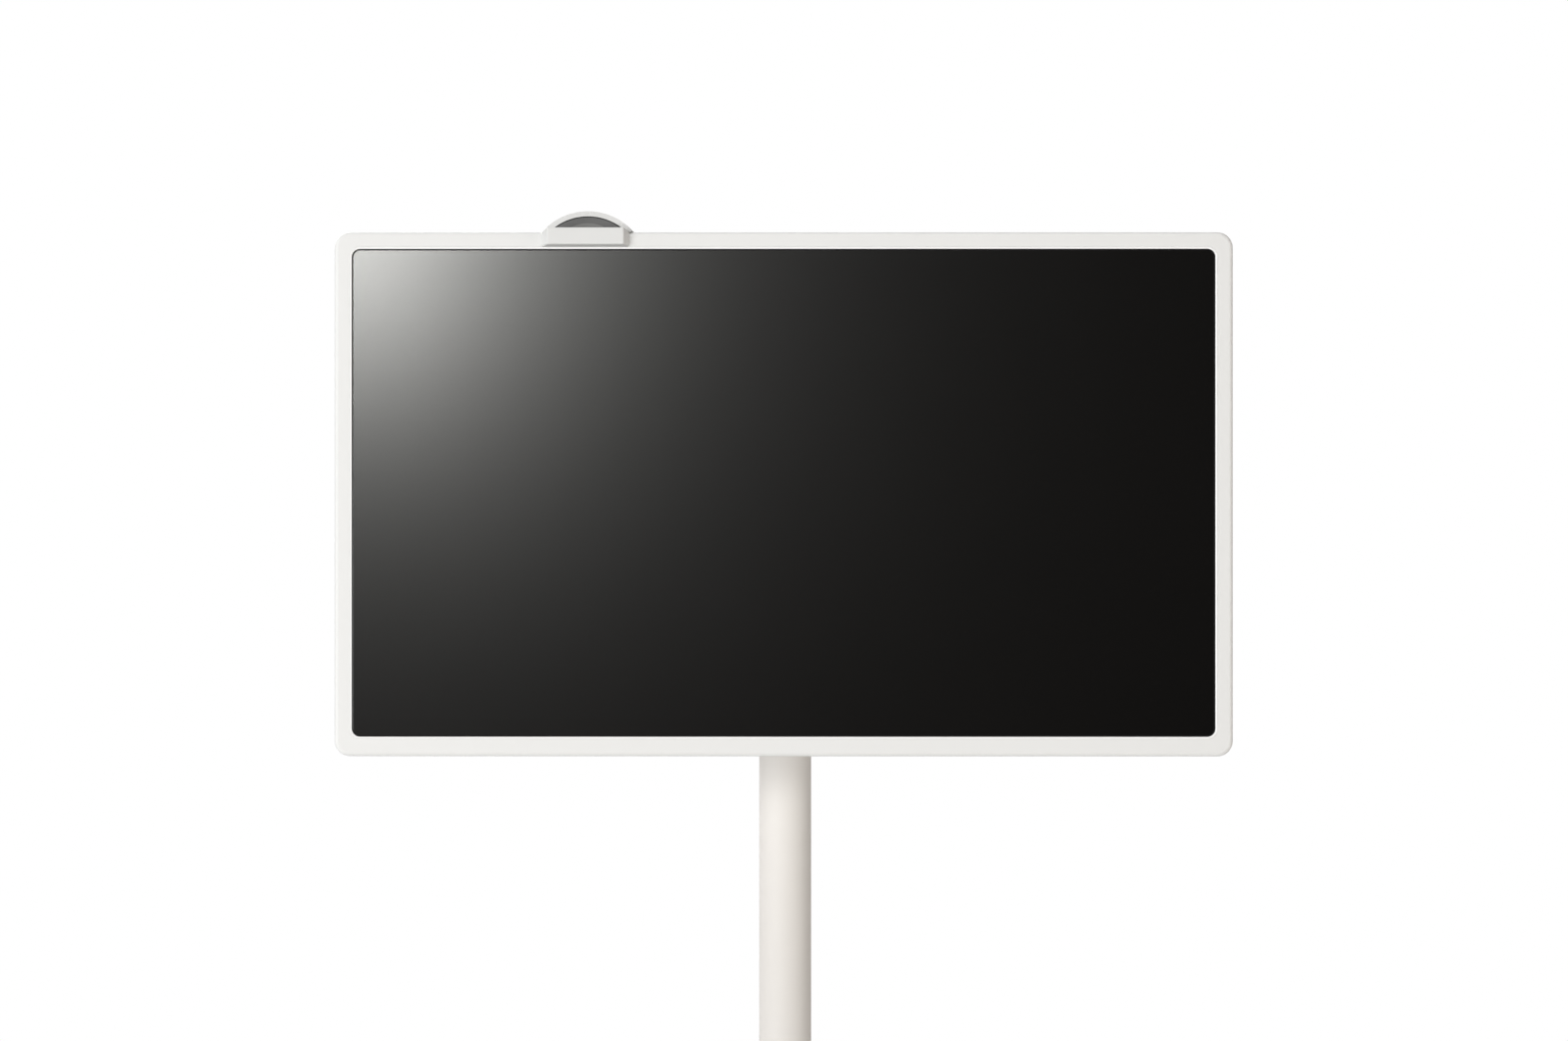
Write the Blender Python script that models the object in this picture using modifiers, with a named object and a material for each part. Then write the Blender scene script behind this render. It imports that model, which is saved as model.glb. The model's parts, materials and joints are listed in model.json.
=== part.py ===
"""Smart display on a rolling stand: a 27 inch class touch screen in a slim frame on a height-adjustable pole.

Metres, +Z up. The origin is on the floor at the middle of the round base, and the screen faces -Y.
The stand rests at its lowest height, with the screen level, upright and in landscape.
"""

import math

import bmesh
import bpy
from mathutils import Matrix, Vector

# ---- Driving dimensions ---------------------------------------------------------------------------------
GAP = 0.0003                       # clearance between pieces that touch

# Display: outline, frame widths and depths
DISPLAY_W, DISPLAY_H = 0.703, 0.410
DISPLAY_Z = 0.860                  # middle of the display with the stand at its lowest
FRAME_SIDE, FRAME_TOP, FRAME_BOTTOM = 0.0136, 0.0139, 0.0154
FRAME_CORNER = 0.012
FRAME_WALL = 0.003
FRAME_ROUNDING = 0.0032
FRONT_Y = -0.118                   # front face of the frame
FRAME_BACK_Y = -0.0963
BACK_Y = -0.080                    # flat back of the rear cover
GLASS_RECESS = 0.0008
GLASS_T = 0.0020
GLASS_CORNER = 0.0055
GLASS_MARGIN = 0.0010              # all-round gap that the gasket fills
LCD_W, LCD_H, LCD_T = 0.612, 0.350, 0.0015
BACKLIGHT_T = 0.0078
CHASSIS_T = 0.0012
CARRIER_W, CARRIER_H = 0.690, 0.397
COVER_WALL = 0.0022
COVER_SLOPE = 0.028                # how far the rear cover draws in on each side
COVER_CORNER = 0.011
THROUGH_COVER = (-0.100, -0.070)   # depths that a cutter spans to go through the rear cover
PORT_XS, PORT_Z = (-0.2240, -0.1960), 0.7850
SOCKET_W, SOCKET_H, SOCKET_FLOOR_Y = 0.0140, 0.0060, -0.0930
PORT_BLOCK_X, PORT_BLOCK_Z = (-0.2400, -0.1800), (0.7755, 0.7945)
BOARD_Y = (-0.0998, -0.0982)       # the two faces of the circuit boards
BOARD_FOOT_R = 0.003
SPEAKER_X, SPEAKER_Z = (0.190, 0.290), (0.6880, 0.7220)

# Pole and its telescoping column
POLE_Y = 0.100
TUBE_R, TUBE_WALL = 0.0212, 0.0027
TUBE_LOW_Z, TUBE_TOP_Z = 0.0506, 0.820
COLUMN_R, COLUMN_WALL = 0.0162, 0.0025
COLUMN_LOW_Z, COLUMN_TOP_Z = 0.430, 0.8360
COLLAR_LOW_Z = 0.7850              # end of the collar's spigot inside the tube
GUIDE_TOP_Z = 0.4640
SPRING_R, SPRING_WALL, SPRING_ROD_R = 0.0110, 0.0025, 0.0040
SPRING_LOW_Z, SPRING_TOP_Z = 0.0510, 0.4280
PISTON_LOW_Z, PISTON_TOP_Z = 0.1500, 0.1600

# Head: swivel, tilt axle and pivot bearing
SPINDLE_R, SPINDLE_BORE_R, SPINDLE_TOP_Z = 0.0100, 0.0104, 0.8765
ARM_HUB_R, ARM_LOW_Z, ARM_TOP_Z = 0.0245, 0.8430, 0.8790
NUT_SEAT_R, NUT_SEAT_Z = 0.0150, 0.8690
BEAM_HALF, BEAM_HALF_H = 0.0160, 0.0140
TILT_Y = 0.010
LUG_HALF = 0.0100
EAR_IN, EAR_OUT = 0.0125, 0.0195
EAR_R = 0.014
AXLE_R, AXLE_BORE_R = 0.0049, 0.0052
PIVOT_R, PIVOT_BORE_R = 0.0080, 0.0083
BEARING_R, BEARING_BACK_Y, BEARING_FRONT_Y = 0.0400, -0.0300, -0.0500
HUB_R, HUB_BOSS_R, HUB_BOSS_Y = 0.0500, 0.0300, -0.0503
SHROUD_R, SHROUD_WALL = 0.0520, 0.0025
SHROUD_BACK_Y, SHROUD_FRONT_Y = -0.0265, -0.0725
SHROUD_MOUTH_R = 0.0255

# Base
BASE_R = 0.200
BASE_TOP_Z = 0.062
BASE_SKIRT_Z = 0.012               # ground clearance of the skirt
BASE_WALL = 0.003
BASE_SHOULDER = [                  # (radius, drop below the top) down to the side wall
    (0.150, 0.0), (0.172, 0.0016), (0.188, 0.0068), (0.1965, 0.0150), (BASE_R, 0.0260),
]
PLATE_R, PLATE_LOW_Z, PLATE_TOP_Z = 0.1920, 0.034, 0.042
PLATE_CUT = (0.020, 0.060)         # heights that a cutter spans to go through the plate
POLE_HOLE_R = 0.0235
FLANGE_R, FLANGE_BOSS_R, FLANGE_TOP_Z, FLANGE_BOSS_Z = 0.0450, 0.0285, 0.0503, 0.0585
BOLT_R, BOLT_HEAD_R, BOLT_HOLE_R = 0.0060, 0.0105, 0.0065
BOLT_TOP_Z, BOLT_LOW_Z = 0.0485, 0.0265
FOOT_RING_TOP_Z = 0.0690
INLET_Z, INLET_BORE_R, INLET_PIN_R = 0.0262, 0.0033, 0.0010
INLET_WINDOW_X, INLET_WINDOW_Z = (-0.010, 0.010), (0.0190, 0.0335)

# Casters: five, evenly spaced, one at the front
CASTERS = 5
CASTER_RING_R = 0.160
WHEEL_R, WHEEL_HALF = 0.0135, 0.0050
CASTER_TRAIL = 0.008
KINGPIN_R, KINGPIN_BORE_R, KINGPIN_TOP_Z = 0.0040, 0.0045, 0.0412
FORK_R, FORK_LOW_Z, FORK_TOP_Z = 0.0125, 0.0295, 0.0333
CHEEK_IN, CHEEK_OUT = 0.0058, 0.0078
CHEEK_Z = (0.0095, 0.0305)
CASTER_AXLE_R, CASTER_BORE_R, CASTER_HEAD_R = 0.0019, 0.0023, 0.0034

# Phone holder on the top edge
HOLDER_X = -0.1540
HOLDER_HALF_W = 0.0346
ARC_X, ARC_R = -0.1535, 0.0480
ARC_DROP = 0.0313                  # centre of the arc below the display's top edge
ARC_RIM = 0.0040                   # width of the rim around the pad
REST_FRONT_Y, REST_BACK_Y = -0.1063, -0.0983
PAD_RECESS = 0.0016
JAW_FRONT_Y, JAW_BACK_Y, JAW_LOW_Z = -0.0782, -0.0758, 1.0150
LIP_X, LIP_T = -0.1548, 0.0080
LIP_BACK_HALF, LIP_FRONT_HALF = 0.0343, 0.0304
LIP_BACK_Z, LIP_FRONT_Z = (-0.0119, 0.0014), (-0.0098, 0.0042)   # from the display's top edge

# Buttons on the back
BUTTON_X = -0.262
BUTTON_R, BUTTON_HOLE_R = 0.0050, 0.0056
BUTTON_PITCH = 0.020
BUTTON_TRAVEL = 0.001
BUTTON_TOP_Y = -0.0786
FLANGE_FRONT_Y, FLANGE_BACK_Y = -0.0840, -0.0825                 # of a button, inside the cover
BUTTON_FLANGE_R, BUTTON_STEM_R = 0.0068, 0.0025

DISPLAY_TOP_Z = DISPLAY_Z + DISPLAY_H / 2
OPENING_W = DISPLAY_W - 2 * FRAME_SIDE
OPENING_H = DISPLAY_H - FRAME_TOP - FRAME_BOTTOM
OPENING_Z = DISPLAY_Z + (FRAME_BOTTOM - FRAME_TOP) / 2
GLASS_FRONT_Y = FRONT_Y + GLASS_RECESS
GLASS_BACK_Y = GLASS_FRONT_Y + GLASS_T
LCD_FRONT_Y = GLASS_BACK_Y + GAP
LCD_BACK_Y = LCD_FRONT_Y + LCD_T
LIGHT_FRONT_Y = LCD_BACK_Y + GAP
LIGHT_BACK_Y = LIGHT_FRONT_Y + BACKLIGHT_T
CHASSIS_FRONT_Y = LIGHT_BACK_Y + GAP
CHASSIS_BACK_Y = CHASSIS_FRONT_Y + CHASSIS_T
STEM_Y = CHASSIS_BACK_Y + GAP + BUTTON_TRAVEL
TUBE_BORE_R = TUBE_R - TUBE_WALL
GUIDE_BORE_R = COLUMN_R + GAP
GUIDE_R = TUBE_BORE_R - GAP

# name: (colour, roughness, metallic)
FINISHES = {
    "frame_white": ((0.87, 0.87, 0.85), 0.45, 0.0),
    "cover_white": ((0.84, 0.83, 0.80), 0.55, 0.0),
    "pole_paint": ((0.84, 0.81, 0.77), 0.40, 0.0),
    "glass_black": ((0.012, 0.012, 0.011), 0.15, 0.0),
    "panel_grey": ((0.10, 0.10, 0.11), 0.40, 0.0),
    "steel": ((0.55, 0.56, 0.58), 0.35, 1.0),
    "aluminium": ((0.75, 0.76, 0.77), 0.30, 1.0),
    "nylon_grey": ((0.60, 0.60, 0.58), 0.55, 0.0),
    "rubber_grey": ((0.13, 0.13, 0.13), 0.80, 0.0),
    "board_green": ((0.05, 0.22, 0.12), 0.50, 0.0),
    "black_plastic": ((0.03, 0.03, 0.03), 0.50, 0.0),
    "battery_blue": ((0.10, 0.16, 0.32), 0.50, 0.0),
}

X_AXIS, Y_AXIS, Z_AXIS = Vector((1, 0, 0)), Vector((0, 1, 0)), Vector((0, 0, 1))


# ---- Scene helpers --------------------------------------------------------------------------------------
def clear_scene():
    for obj in list(bpy.data.objects):
        bpy.data.objects.remove(obj)


def make_collection(name):
    collection = bpy.data.collections.new(name)
    bpy.context.scene.collection.children.link(collection)
    return collection


def make_material(name):
    colour, roughness, metallic = FINISHES[name]
    material = bpy.data.materials.new(name)
    material.use_nodes = True
    shader = material.node_tree.nodes["Principled BSDF"]
    shader.inputs["Base Color"].default_value = (*colour, 1.0)
    shader.inputs["Roughness"].default_value = roughness
    shader.inputs["Metallic"].default_value = metallic
    return material


clear_scene()
PARTS = make_collection("smart_display")
CUTTERS = make_collection("cutters")
MATERIALS = {name: make_material(name) for name in FINISHES}


def joint_empty(name, location, parent=None):
    """An empty on a joint's axis, which carries the pieces of the moving body."""
    empty = bpy.data.objects.new(name, None)
    PARTS.objects.link(empty)
    empty.location = Vector(location)
    empty["at"] = location
    if parent is not None:
        empty.location = Vector(location) - Vector(parent["at"])
        empty.parent = parent
    return empty


def add_part(obj, finish, body=None):
    """Makes obj a named part of the display with its material, carried by a joint's empty."""
    PARTS.objects.link(obj)
    obj.data.materials.append(MATERIALS[finish])
    if body is not None:
        obj.parent = body
        obj.matrix_parent_inverse = Matrix.Translation(Vector(body["at"])).inverted()
    return obj


def as_cutter(obj):
    CUTTERS.objects.link(obj)
    obj.hide_render = True
    obj.display_type = "WIRE"
    return obj


def combine(obj, other, operation):
    modifier = obj.modifiers.new(other.name, "BOOLEAN")
    modifier.operation = operation
    modifier.solver = "EXACT"
    modifier.object = as_cutter(other)


def cut(obj, *others):
    for other in others:
        combine(obj, other, "DIFFERENCE")
    return obj


def join(obj, *others):
    for other in others:
        combine(obj, other, "UNION")
    return obj


def soften(obj, width, segments=2, angle=35):
    """Rounds the edges sharper than angle, in degrees."""
    modifier = obj.modifiers.new("rounding", "BEVEL")
    modifier.width = width
    modifier.segments = segments
    modifier.limit_method = "ANGLE"
    modifier.angle_limit = math.radians(angle)
    return obj


# ---- Shape helpers --------------------------------------------------------------------------------------
def object_from(name, bm, smooth_angle=35):
    bmesh.ops.recalc_face_normals(bm, faces=bm.faces)
    mesh = bpy.data.meshes.new(name)
    bm.to_mesh(mesh)
    bm.free()
    mesh.shade_smooth()
    mesh.set_sharp_from_angle(angle=math.radians(smooth_angle))
    return bpy.data.objects.new(name, mesh)


def box(name, x, y, z):
    """A box between (low, high) pairs along each axis."""
    bm = bmesh.new()
    bmesh.ops.create_cube(bm, size=1.0)
    low, high = Vector((x[0], y[0], z[0])), Vector((x[1], y[1], z[1]))
    bmesh.ops.scale(bm, vec=high - low, verts=bm.verts)
    bmesh.ops.translate(bm, vec=(low + high) / 2, verts=bm.verts)
    return object_from(name, bm)


def axis_matrix(axis):
    """Turns local Z to the given world axis."""
    return Z_AXIS.rotation_difference(axis).to_matrix().to_4x4()


def rod(name, radius, start, end, sides=24):
    """A solid cylinder between two points, with a flat of its side facing straight down or along."""
    start, end = Vector(start), Vector(end)
    bm = bmesh.new()
    bmesh.ops.create_cone(
        bm, cap_ends=True, segments=sides, radius1=radius, radius2=radius, depth=(end - start).length
    )
    bmesh.ops.rotate(bm, cent=(0, 0, 0), matrix=Matrix.Rotation(math.pi / sides, 3, "Z"), verts=bm.verts)
    place = Matrix.Translation((start + end) / 2) @ axis_matrix((end - start).normalized())
    bmesh.ops.transform(bm, matrix=place, verts=bm.verts)
    return object_from(name, bm)


def turned(name, profile, origin, axis, steps=48, ring=False):
    """A lathe-turned solid: profile is (radius, distance along axis) from the far end down the outer side."""
    mesh = bpy.data.meshes.new(name)
    points = [(radius, 0.0, along) for radius, along in profile]
    edges = [(i, i + 1) for i in range(len(points) - 1)]
    if ring:
        edges.append((len(points) - 1, 0))
    mesh.from_pydata(points, edges, [])
    obj = bpy.data.objects.new(name, mesh)
    obj.matrix_world = Matrix.Translation(Vector(origin)) @ axis_matrix(axis)
    screw = obj.modifiers.new("turning", "SCREW")
    screw.axis = "Z"
    screw.steps = steps
    screw.render_steps = steps
    screw.use_merge_vertices = True
    screw.merge_threshold = 0.0001
    screw.use_smooth_shade = False
    return obj


def slab(
    name, width, height, y, corner, z_mid=DISPLAY_Z, corner_segments=6, back_inset=0.0, rear_rounding=0.0
):
    """An upright plate with rounded corners, between two depths. back_inset draws its rear outline in."""
    bm = bmesh.new()
    bmesh.ops.create_cube(bm, size=1.0)
    bmesh.ops.scale(bm, vec=(width, y[1] - y[0], height), verts=bm.verts)
    along_y = [e for e in bm.edges if abs(e.verts[0].co.y - e.verts[1].co.y) > 0.5 * (y[1] - y[0])]
    bmesh.ops.bevel(
        bm, geom=along_y, offset=corner, segments=corner_segments, affect="EDGES", profile=0.5,
        clamp_overlap=True
    )
    if back_inset:
        rear = [v for v in bm.verts if v.co.y > 0]
        shrink = (1 - 2 * back_inset / width, 1, 1 - 2 * back_inset / height)
        bmesh.ops.scale(bm, vec=shrink, verts=rear)
    if rear_rounding:
        rim = [e for e in bm.edges if min(v.co.y for v in e.verts) > 0]
        bmesh.ops.bevel(bm, geom=rim, offset=rear_rounding, segments=2, affect="EDGES", profile=0.5)
    bmesh.ops.translate(bm, vec=(0, (y[0] + y[1]) / 2, z_mid), verts=bm.verts)
    return object_from(name, bm)


# ---- Joint axes -----------------------------------------------------------------------------------------
HEIGHT = joint_empty("height_axis", (0, POLE_Y, COLUMN_TOP_Z))
SWIVEL = joint_empty("swivel_axis", (0, POLE_Y, DISPLAY_Z), HEIGHT)
TILT = joint_empty("tilt_axis", (0, TILT_Y, DISPLAY_Z), SWIVEL)
PIVOT = joint_empty("pivot_axis", (0, BACK_Y, DISPLAY_Z), TILT)
HOLDER = joint_empty("holder_axis", (HOLDER_X, REST_FRONT_Y, DISPLAY_TOP_Z), PIVOT)


# ---- Base -----------------------------------------------------------------------------------------------
def base_cover():
    outer = [(0.0, BASE_TOP_Z)] + [(r, BASE_TOP_Z - drop) for r, drop in BASE_SHOULDER]
    outer.append((BASE_R, BASE_SKIRT_Z))
    inner_r, ceiling = BASE_R - BASE_WALL, BASE_TOP_Z - BASE_WALL
    inner_shoulder = [(r - BASE_WALL * 0.9, ceiling - drop * 0.98) for r, drop in BASE_SHOULDER[:-1]]
    inner = [(inner_r, BASE_SKIRT_Z), (inner_r, BASE_TOP_Z - BASE_SHOULDER[-1][1] - 0.001)]
    inner += list(reversed(inner_shoulder)) + [(0.0, ceiling)]
    cover = turned("base_cover", outer + inner, (0, 0, 0), Z_AXIS, steps=60)
    cut(
        cover,
        rod("cover_pole_hole", POLE_HOLE_R, (0, POLE_Y, 0.05), (0, POLE_Y, 0.08), sides=32),
        box("cover_inlet_window", INLET_WINDOW_X, (BASE_R - 0.015, BASE_R + 0.015), INLET_WINDOW_Z),
    )
    add_part(cover, "cover_white")


def ballast_plate():
    low, high = PLATE_CUT
    plate = rod("ballast_plate", PLATE_R, (0, 0, PLATE_LOW_Z), (0, 0, PLATE_TOP_Z), sides=60)
    cut(plate, rod("plate_bolt_hole", BOLT_HOLE_R, (0, POLE_Y, low), (0, POLE_Y, high), sides=16))
    for index in range(CASTERS):
        x, y = caster_centre(index)
        cut(plate, rod(f"kingpin_hole_{index + 1}", KINGPIN_BORE_R, (x, y, low), (x, y, high), sides=16))
    add_part(plate, "steel")


def pole_foot():
    flange_low, seat_r, bolt_pocket_z = PLATE_TOP_Z + GAP, TUBE_R + GAP, BOLT_TOP_Z + GAP
    chamfer = 0.0015
    flange = turned(
        "pole_flange",
        [
            (FLANGE_BOSS_R - chamfer, FLANGE_BOSS_Z), (FLANGE_BOSS_R, FLANGE_BOSS_Z - chamfer),
            (FLANGE_BOSS_R, FLANGE_TOP_Z), (FLANGE_R, FLANGE_TOP_Z), (FLANGE_R, flange_low),
            (BOLT_HOLE_R, flange_low), (BOLT_HOLE_R, bolt_pocket_z), (0.0, bolt_pocket_z),
            (0.0, FLANGE_TOP_Z), (seat_r, FLANGE_TOP_Z), (seat_r, FLANGE_BOSS_Z),
        ],
        (0, POLE_Y, 0), Z_AXIS, steps=28, ring=True,
    )
    add_part(flange, "steel")
    head_z = PLATE_LOW_Z - GAP
    bolt = turned(
        "pole_bolt",
        [
            (0.0, BOLT_TOP_Z), (BOLT_R, BOLT_TOP_Z), (BOLT_R, head_z), (BOLT_HEAD_R, head_z),
            (BOLT_HEAD_R, BOLT_LOW_Z), (0.0, BOLT_LOW_Z),
        ],
        (0, POLE_Y, 0), Z_AXIS, steps=18,
    )
    add_part(bolt, "steel")
    ring_low = BASE_TOP_Z + GAP
    ring = turned(
        "pole_foot_ring",
        [
            (0.0270, FOOT_RING_TOP_Z), (0.0305, FOOT_RING_TOP_Z - 0.0018), (0.0315, ring_low),
            (seat_r, ring_low), (seat_r, FOOT_RING_TOP_Z),
        ],
        (0, POLE_Y, 0), Z_AXIS, steps=36, ring=True,
    )
    add_part(ring, "cover_white")


def base_electronics():
    battery = box("battery_pack", (-0.085, 0.085), (-0.105, -0.015), (PLATE_TOP_Z + GAP, 0.0580))
    add_part(soften(battery, 0.002, 2), "battery_blue")

    board_z = (PLATE_TOP_Z + 0.0030, PLATE_TOP_Z + 0.0046)
    on_board = board_z[1] - 0.0002   # where a feature starts, so that it joins the board
    board = box("charger_board", (-0.055, 0.055), (0.005, 0.050), board_z)
    chips = [
        box("charger_coil", (-0.045, -0.025), (0.015, 0.035), (on_board, 0.0560)),
        box("charger_caps", (0.000, 0.022), (0.012, 0.030), (on_board, 0.0545)),
        box("charger_plug", (0.035, 0.048), (0.012, 0.042), (on_board, 0.0525)),
    ]
    foot_low, foot_top = PLATE_TOP_Z + GAP, board_z[0] + 0.0005
    feet = [
        rod(f"charger_foot_{i}", BOARD_FOOT_R, (x, y, foot_low), (x, y, foot_top), sides=10)
        for i, (x, y) in enumerate([(-0.050, 0.010), (0.050, 0.010), (-0.050, 0.045), (0.050, 0.045)])
    ]
    add_part(join(board, *chips, *feet), "board_green")

    inlet_back, inlet_mouth = BASE_R - 0.020, BASE_R - 0.0038
    inlet = box("power_inlet", (-0.008, 0.008), (inlet_back, inlet_mouth), (0.0200, PLATE_LOW_Z - GAP))
    bore_floor, pin_tip = (0, inlet_back + 0.004, INLET_Z), (0, inlet_mouth - 0.0017, INLET_Z)
    cut(inlet, rod("inlet_bore", INLET_BORE_R, bore_floor, (0, BASE_R, INLET_Z), sides=24))
    join(inlet, rod("inlet_pin", INLET_PIN_R, (0, inlet_back + 0.002, INLET_Z), pin_tip, sides=12))
    add_part(inlet, "black_plastic")


# ---- Casters --------------------------------------------------------------------------------------------
def caster_centre(index):
    angle = -math.pi / 2 + index * 2 * math.pi / CASTERS
    return CASTER_RING_R * math.cos(angle), CASTER_RING_R * math.sin(angle)


def caster(index):
    number = index + 1
    x, y = caster_centre(index)
    swivel = joint_empty(f"caster_swivel_axis_{number}", (x, y, FORK_TOP_Z))
    hub_y = y + CASTER_TRAIL
    wheel_axis = joint_empty(f"caster_wheel_axis_{number}", (x, hub_y, WHEEL_R), swivel)

    fork = rod(f"caster_fork_{number}", FORK_R, (x, y, FORK_LOW_Z), (x, y, FORK_TOP_Z), sides=28)
    pin_low = FORK_TOP_Z - 0.0013
    join(fork, rod(f"kingpin_{number}", KINGPIN_R, (x, y, pin_low), (x, y, KINGPIN_TOP_Z), sides=16))
    for side in (-1, 1):
        cheek_x = sorted((x + side * CHEEK_IN, x + side * CHEEK_OUT))
        join(fork, box(f"cheek_{number}_{side}", cheek_x, (y - 0.0070, hub_y + 0.0045), CHEEK_Z))
    bore_start, bore_end = (x - FORK_R, hub_y, WHEEL_R), (x + FORK_R, hub_y, WHEEL_R)
    cut(fork, rod(f"fork_bore_{number}", CASTER_BORE_R, bore_start, bore_end, sides=16))
    add_part(fork, "steel", swivel)

    head_in, head_out, tip = CHEEK_OUT + GAP, CHEEK_OUT + 0.0020, -CHEEK_OUT - 0.0017
    axle = turned(
        f"caster_axle_{number}",
        [
            (0.0, head_out), (CASTER_HEAD_R, head_out), (CASTER_HEAD_R, head_in), (CASTER_AXLE_R, head_in),
            (CASTER_AXLE_R, tip), (0.0, tip),
        ],
        (x, hub_y, WHEEL_R), X_AXIS, steps=16,
    )
    add_part(axle, "steel", swivel)

    facets = 32
    tread_r = WHEEL_R / math.cos(math.pi / facets)
    wheel_start, wheel_end = (x - WHEEL_HALF, hub_y, WHEEL_R), (x + WHEEL_HALF, hub_y, WHEEL_R)
    wheel = rod(f"caster_wheel_{number}", tread_r, wheel_start, wheel_end, facets)
    cut(wheel, rod(f"wheel_bore_{number}", CASTER_BORE_R, bore_start, bore_end, sides=16))
    add_part(wheel, "rubber_grey", wheel_axis)


# ---- Pole -----------------------------------------------------------------------------------------------
def pole():
    tube = turned(
        "pole_tube",
        [(TUBE_R, TUBE_TOP_Z), (TUBE_R, TUBE_LOW_Z), (TUBE_BORE_R, TUBE_LOW_Z), (TUBE_BORE_R, TUBE_TOP_Z)],
        (0, POLE_Y, 0), Z_AXIS, steps=48, ring=True,
    )
    add_part(tube, "pole_paint")
    collar_low, collar_top, chamfer = TUBE_TOP_Z + GAP, COLUMN_TOP_Z, 0.001
    collar = turned(
        "pole_collar",
        [
            (TUBE_R - chamfer, collar_top), (TUBE_R, collar_top - chamfer), (TUBE_R, collar_low),
            (GUIDE_R, collar_low), (GUIDE_R, COLLAR_LOW_Z), (GUIDE_BORE_R, COLLAR_LOW_Z),
            (GUIDE_BORE_R, collar_top),
        ],
        (0, POLE_Y, 0), Z_AXIS, steps=36, ring=True,
    )
    add_part(collar, "nylon_grey")
    bore, gland_r = SPRING_R - SPRING_WALL, SPRING_ROD_R + 0.0005
    floor_z, gland_z = SPRING_LOW_Z + 0.0110, SPRING_TOP_Z - 0.0080
    cylinder = turned(
        "gas_spring_cylinder",
        [
            (gland_r, SPRING_TOP_Z), (SPRING_R, SPRING_TOP_Z), (SPRING_R, SPRING_LOW_Z), (0.0, SPRING_LOW_Z),
            (0.0, floor_z), (bore, floor_z), (bore, gland_z), (gland_r, gland_z),
        ],
        (0, POLE_Y, 0), Z_AXIS, steps=24, ring=True,
    )
    add_part(cylinder, "steel")


def column():
    column_bore = COLUMN_R - COLUMN_WALL
    tube = turned(
        "inner_column",
        [
            (COLUMN_R, COLUMN_TOP_Z), (COLUMN_R, COLUMN_LOW_Z), (column_bore, COLUMN_LOW_Z),
            (column_bore, COLUMN_TOP_Z),
        ],
        (0, POLE_Y, 0), Z_AXIS, steps=36, ring=True,
    )
    add_part(tube, "aluminium", HEIGHT)
    guide = turned(
        "column_guide",
        [
            (GUIDE_R, GUIDE_TOP_Z), (GUIDE_R, COLUMN_LOW_Z), (GUIDE_BORE_R, COLUMN_LOW_Z),
            (GUIDE_BORE_R, GUIDE_TOP_Z),
        ],
        (0, POLE_Y, 0), Z_AXIS, steps=24, ring=True,
    )
    add_part(guide, "nylon_grey", HEIGHT)
    piston_r, socket_z = SPRING_R - SPRING_WALL - 0.0004, 0.8290
    rod_top = socket_z - 0.0005
    spring_rod = turned(
        "gas_spring_rod",
        [
            (0.0, rod_top), (SPRING_ROD_R, rod_top), (SPRING_ROD_R, PISTON_TOP_Z), (piston_r, PISTON_TOP_Z),
            (piston_r, PISTON_LOW_Z), (0.0, PISTON_LOW_Z),
        ],
        (0, POLE_Y, 0), Z_AXIS, steps=20,
    )
    add_part(spring_rod, "steel", HEIGHT)
    spigot_r, spigot_low, flange_low, flange_top = column_bore - GAP, 0.8150, COLUMN_TOP_Z + GAP, 0.8423
    socket_r = SPRING_ROD_R + GAP
    head = turned(
        "column_head",
        [
            (0.0, SPINDLE_TOP_Z), (SPINDLE_R, SPINDLE_TOP_Z), (SPINDLE_R, flange_top), (TUBE_R, flange_top),
            (TUBE_R, flange_low), (spigot_r, flange_low), (spigot_r, spigot_low), (socket_r, spigot_low),
            (socket_r, socket_z), (0.0, socket_z),
        ],
        (0, POLE_Y, 0), Z_AXIS, steps=28,
    )
    add_part(head, "aluminium", HEIGHT)
    nut_r, nut_bore, nut_low, nut_top = 0.0135, SPINDLE_R + GAP, NUT_SEAT_Z + 0.0005, SPINDLE_TOP_Z - 0.0005
    nut = turned(
        "swivel_nut",
        [(nut_r, nut_top), (nut_r, nut_low), (nut_bore, nut_low), (nut_bore, nut_top)],
        (0, POLE_Y, 0), Z_AXIS, steps=24, ring=True,
    )
    add_part(nut, "steel", HEIGHT)


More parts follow.
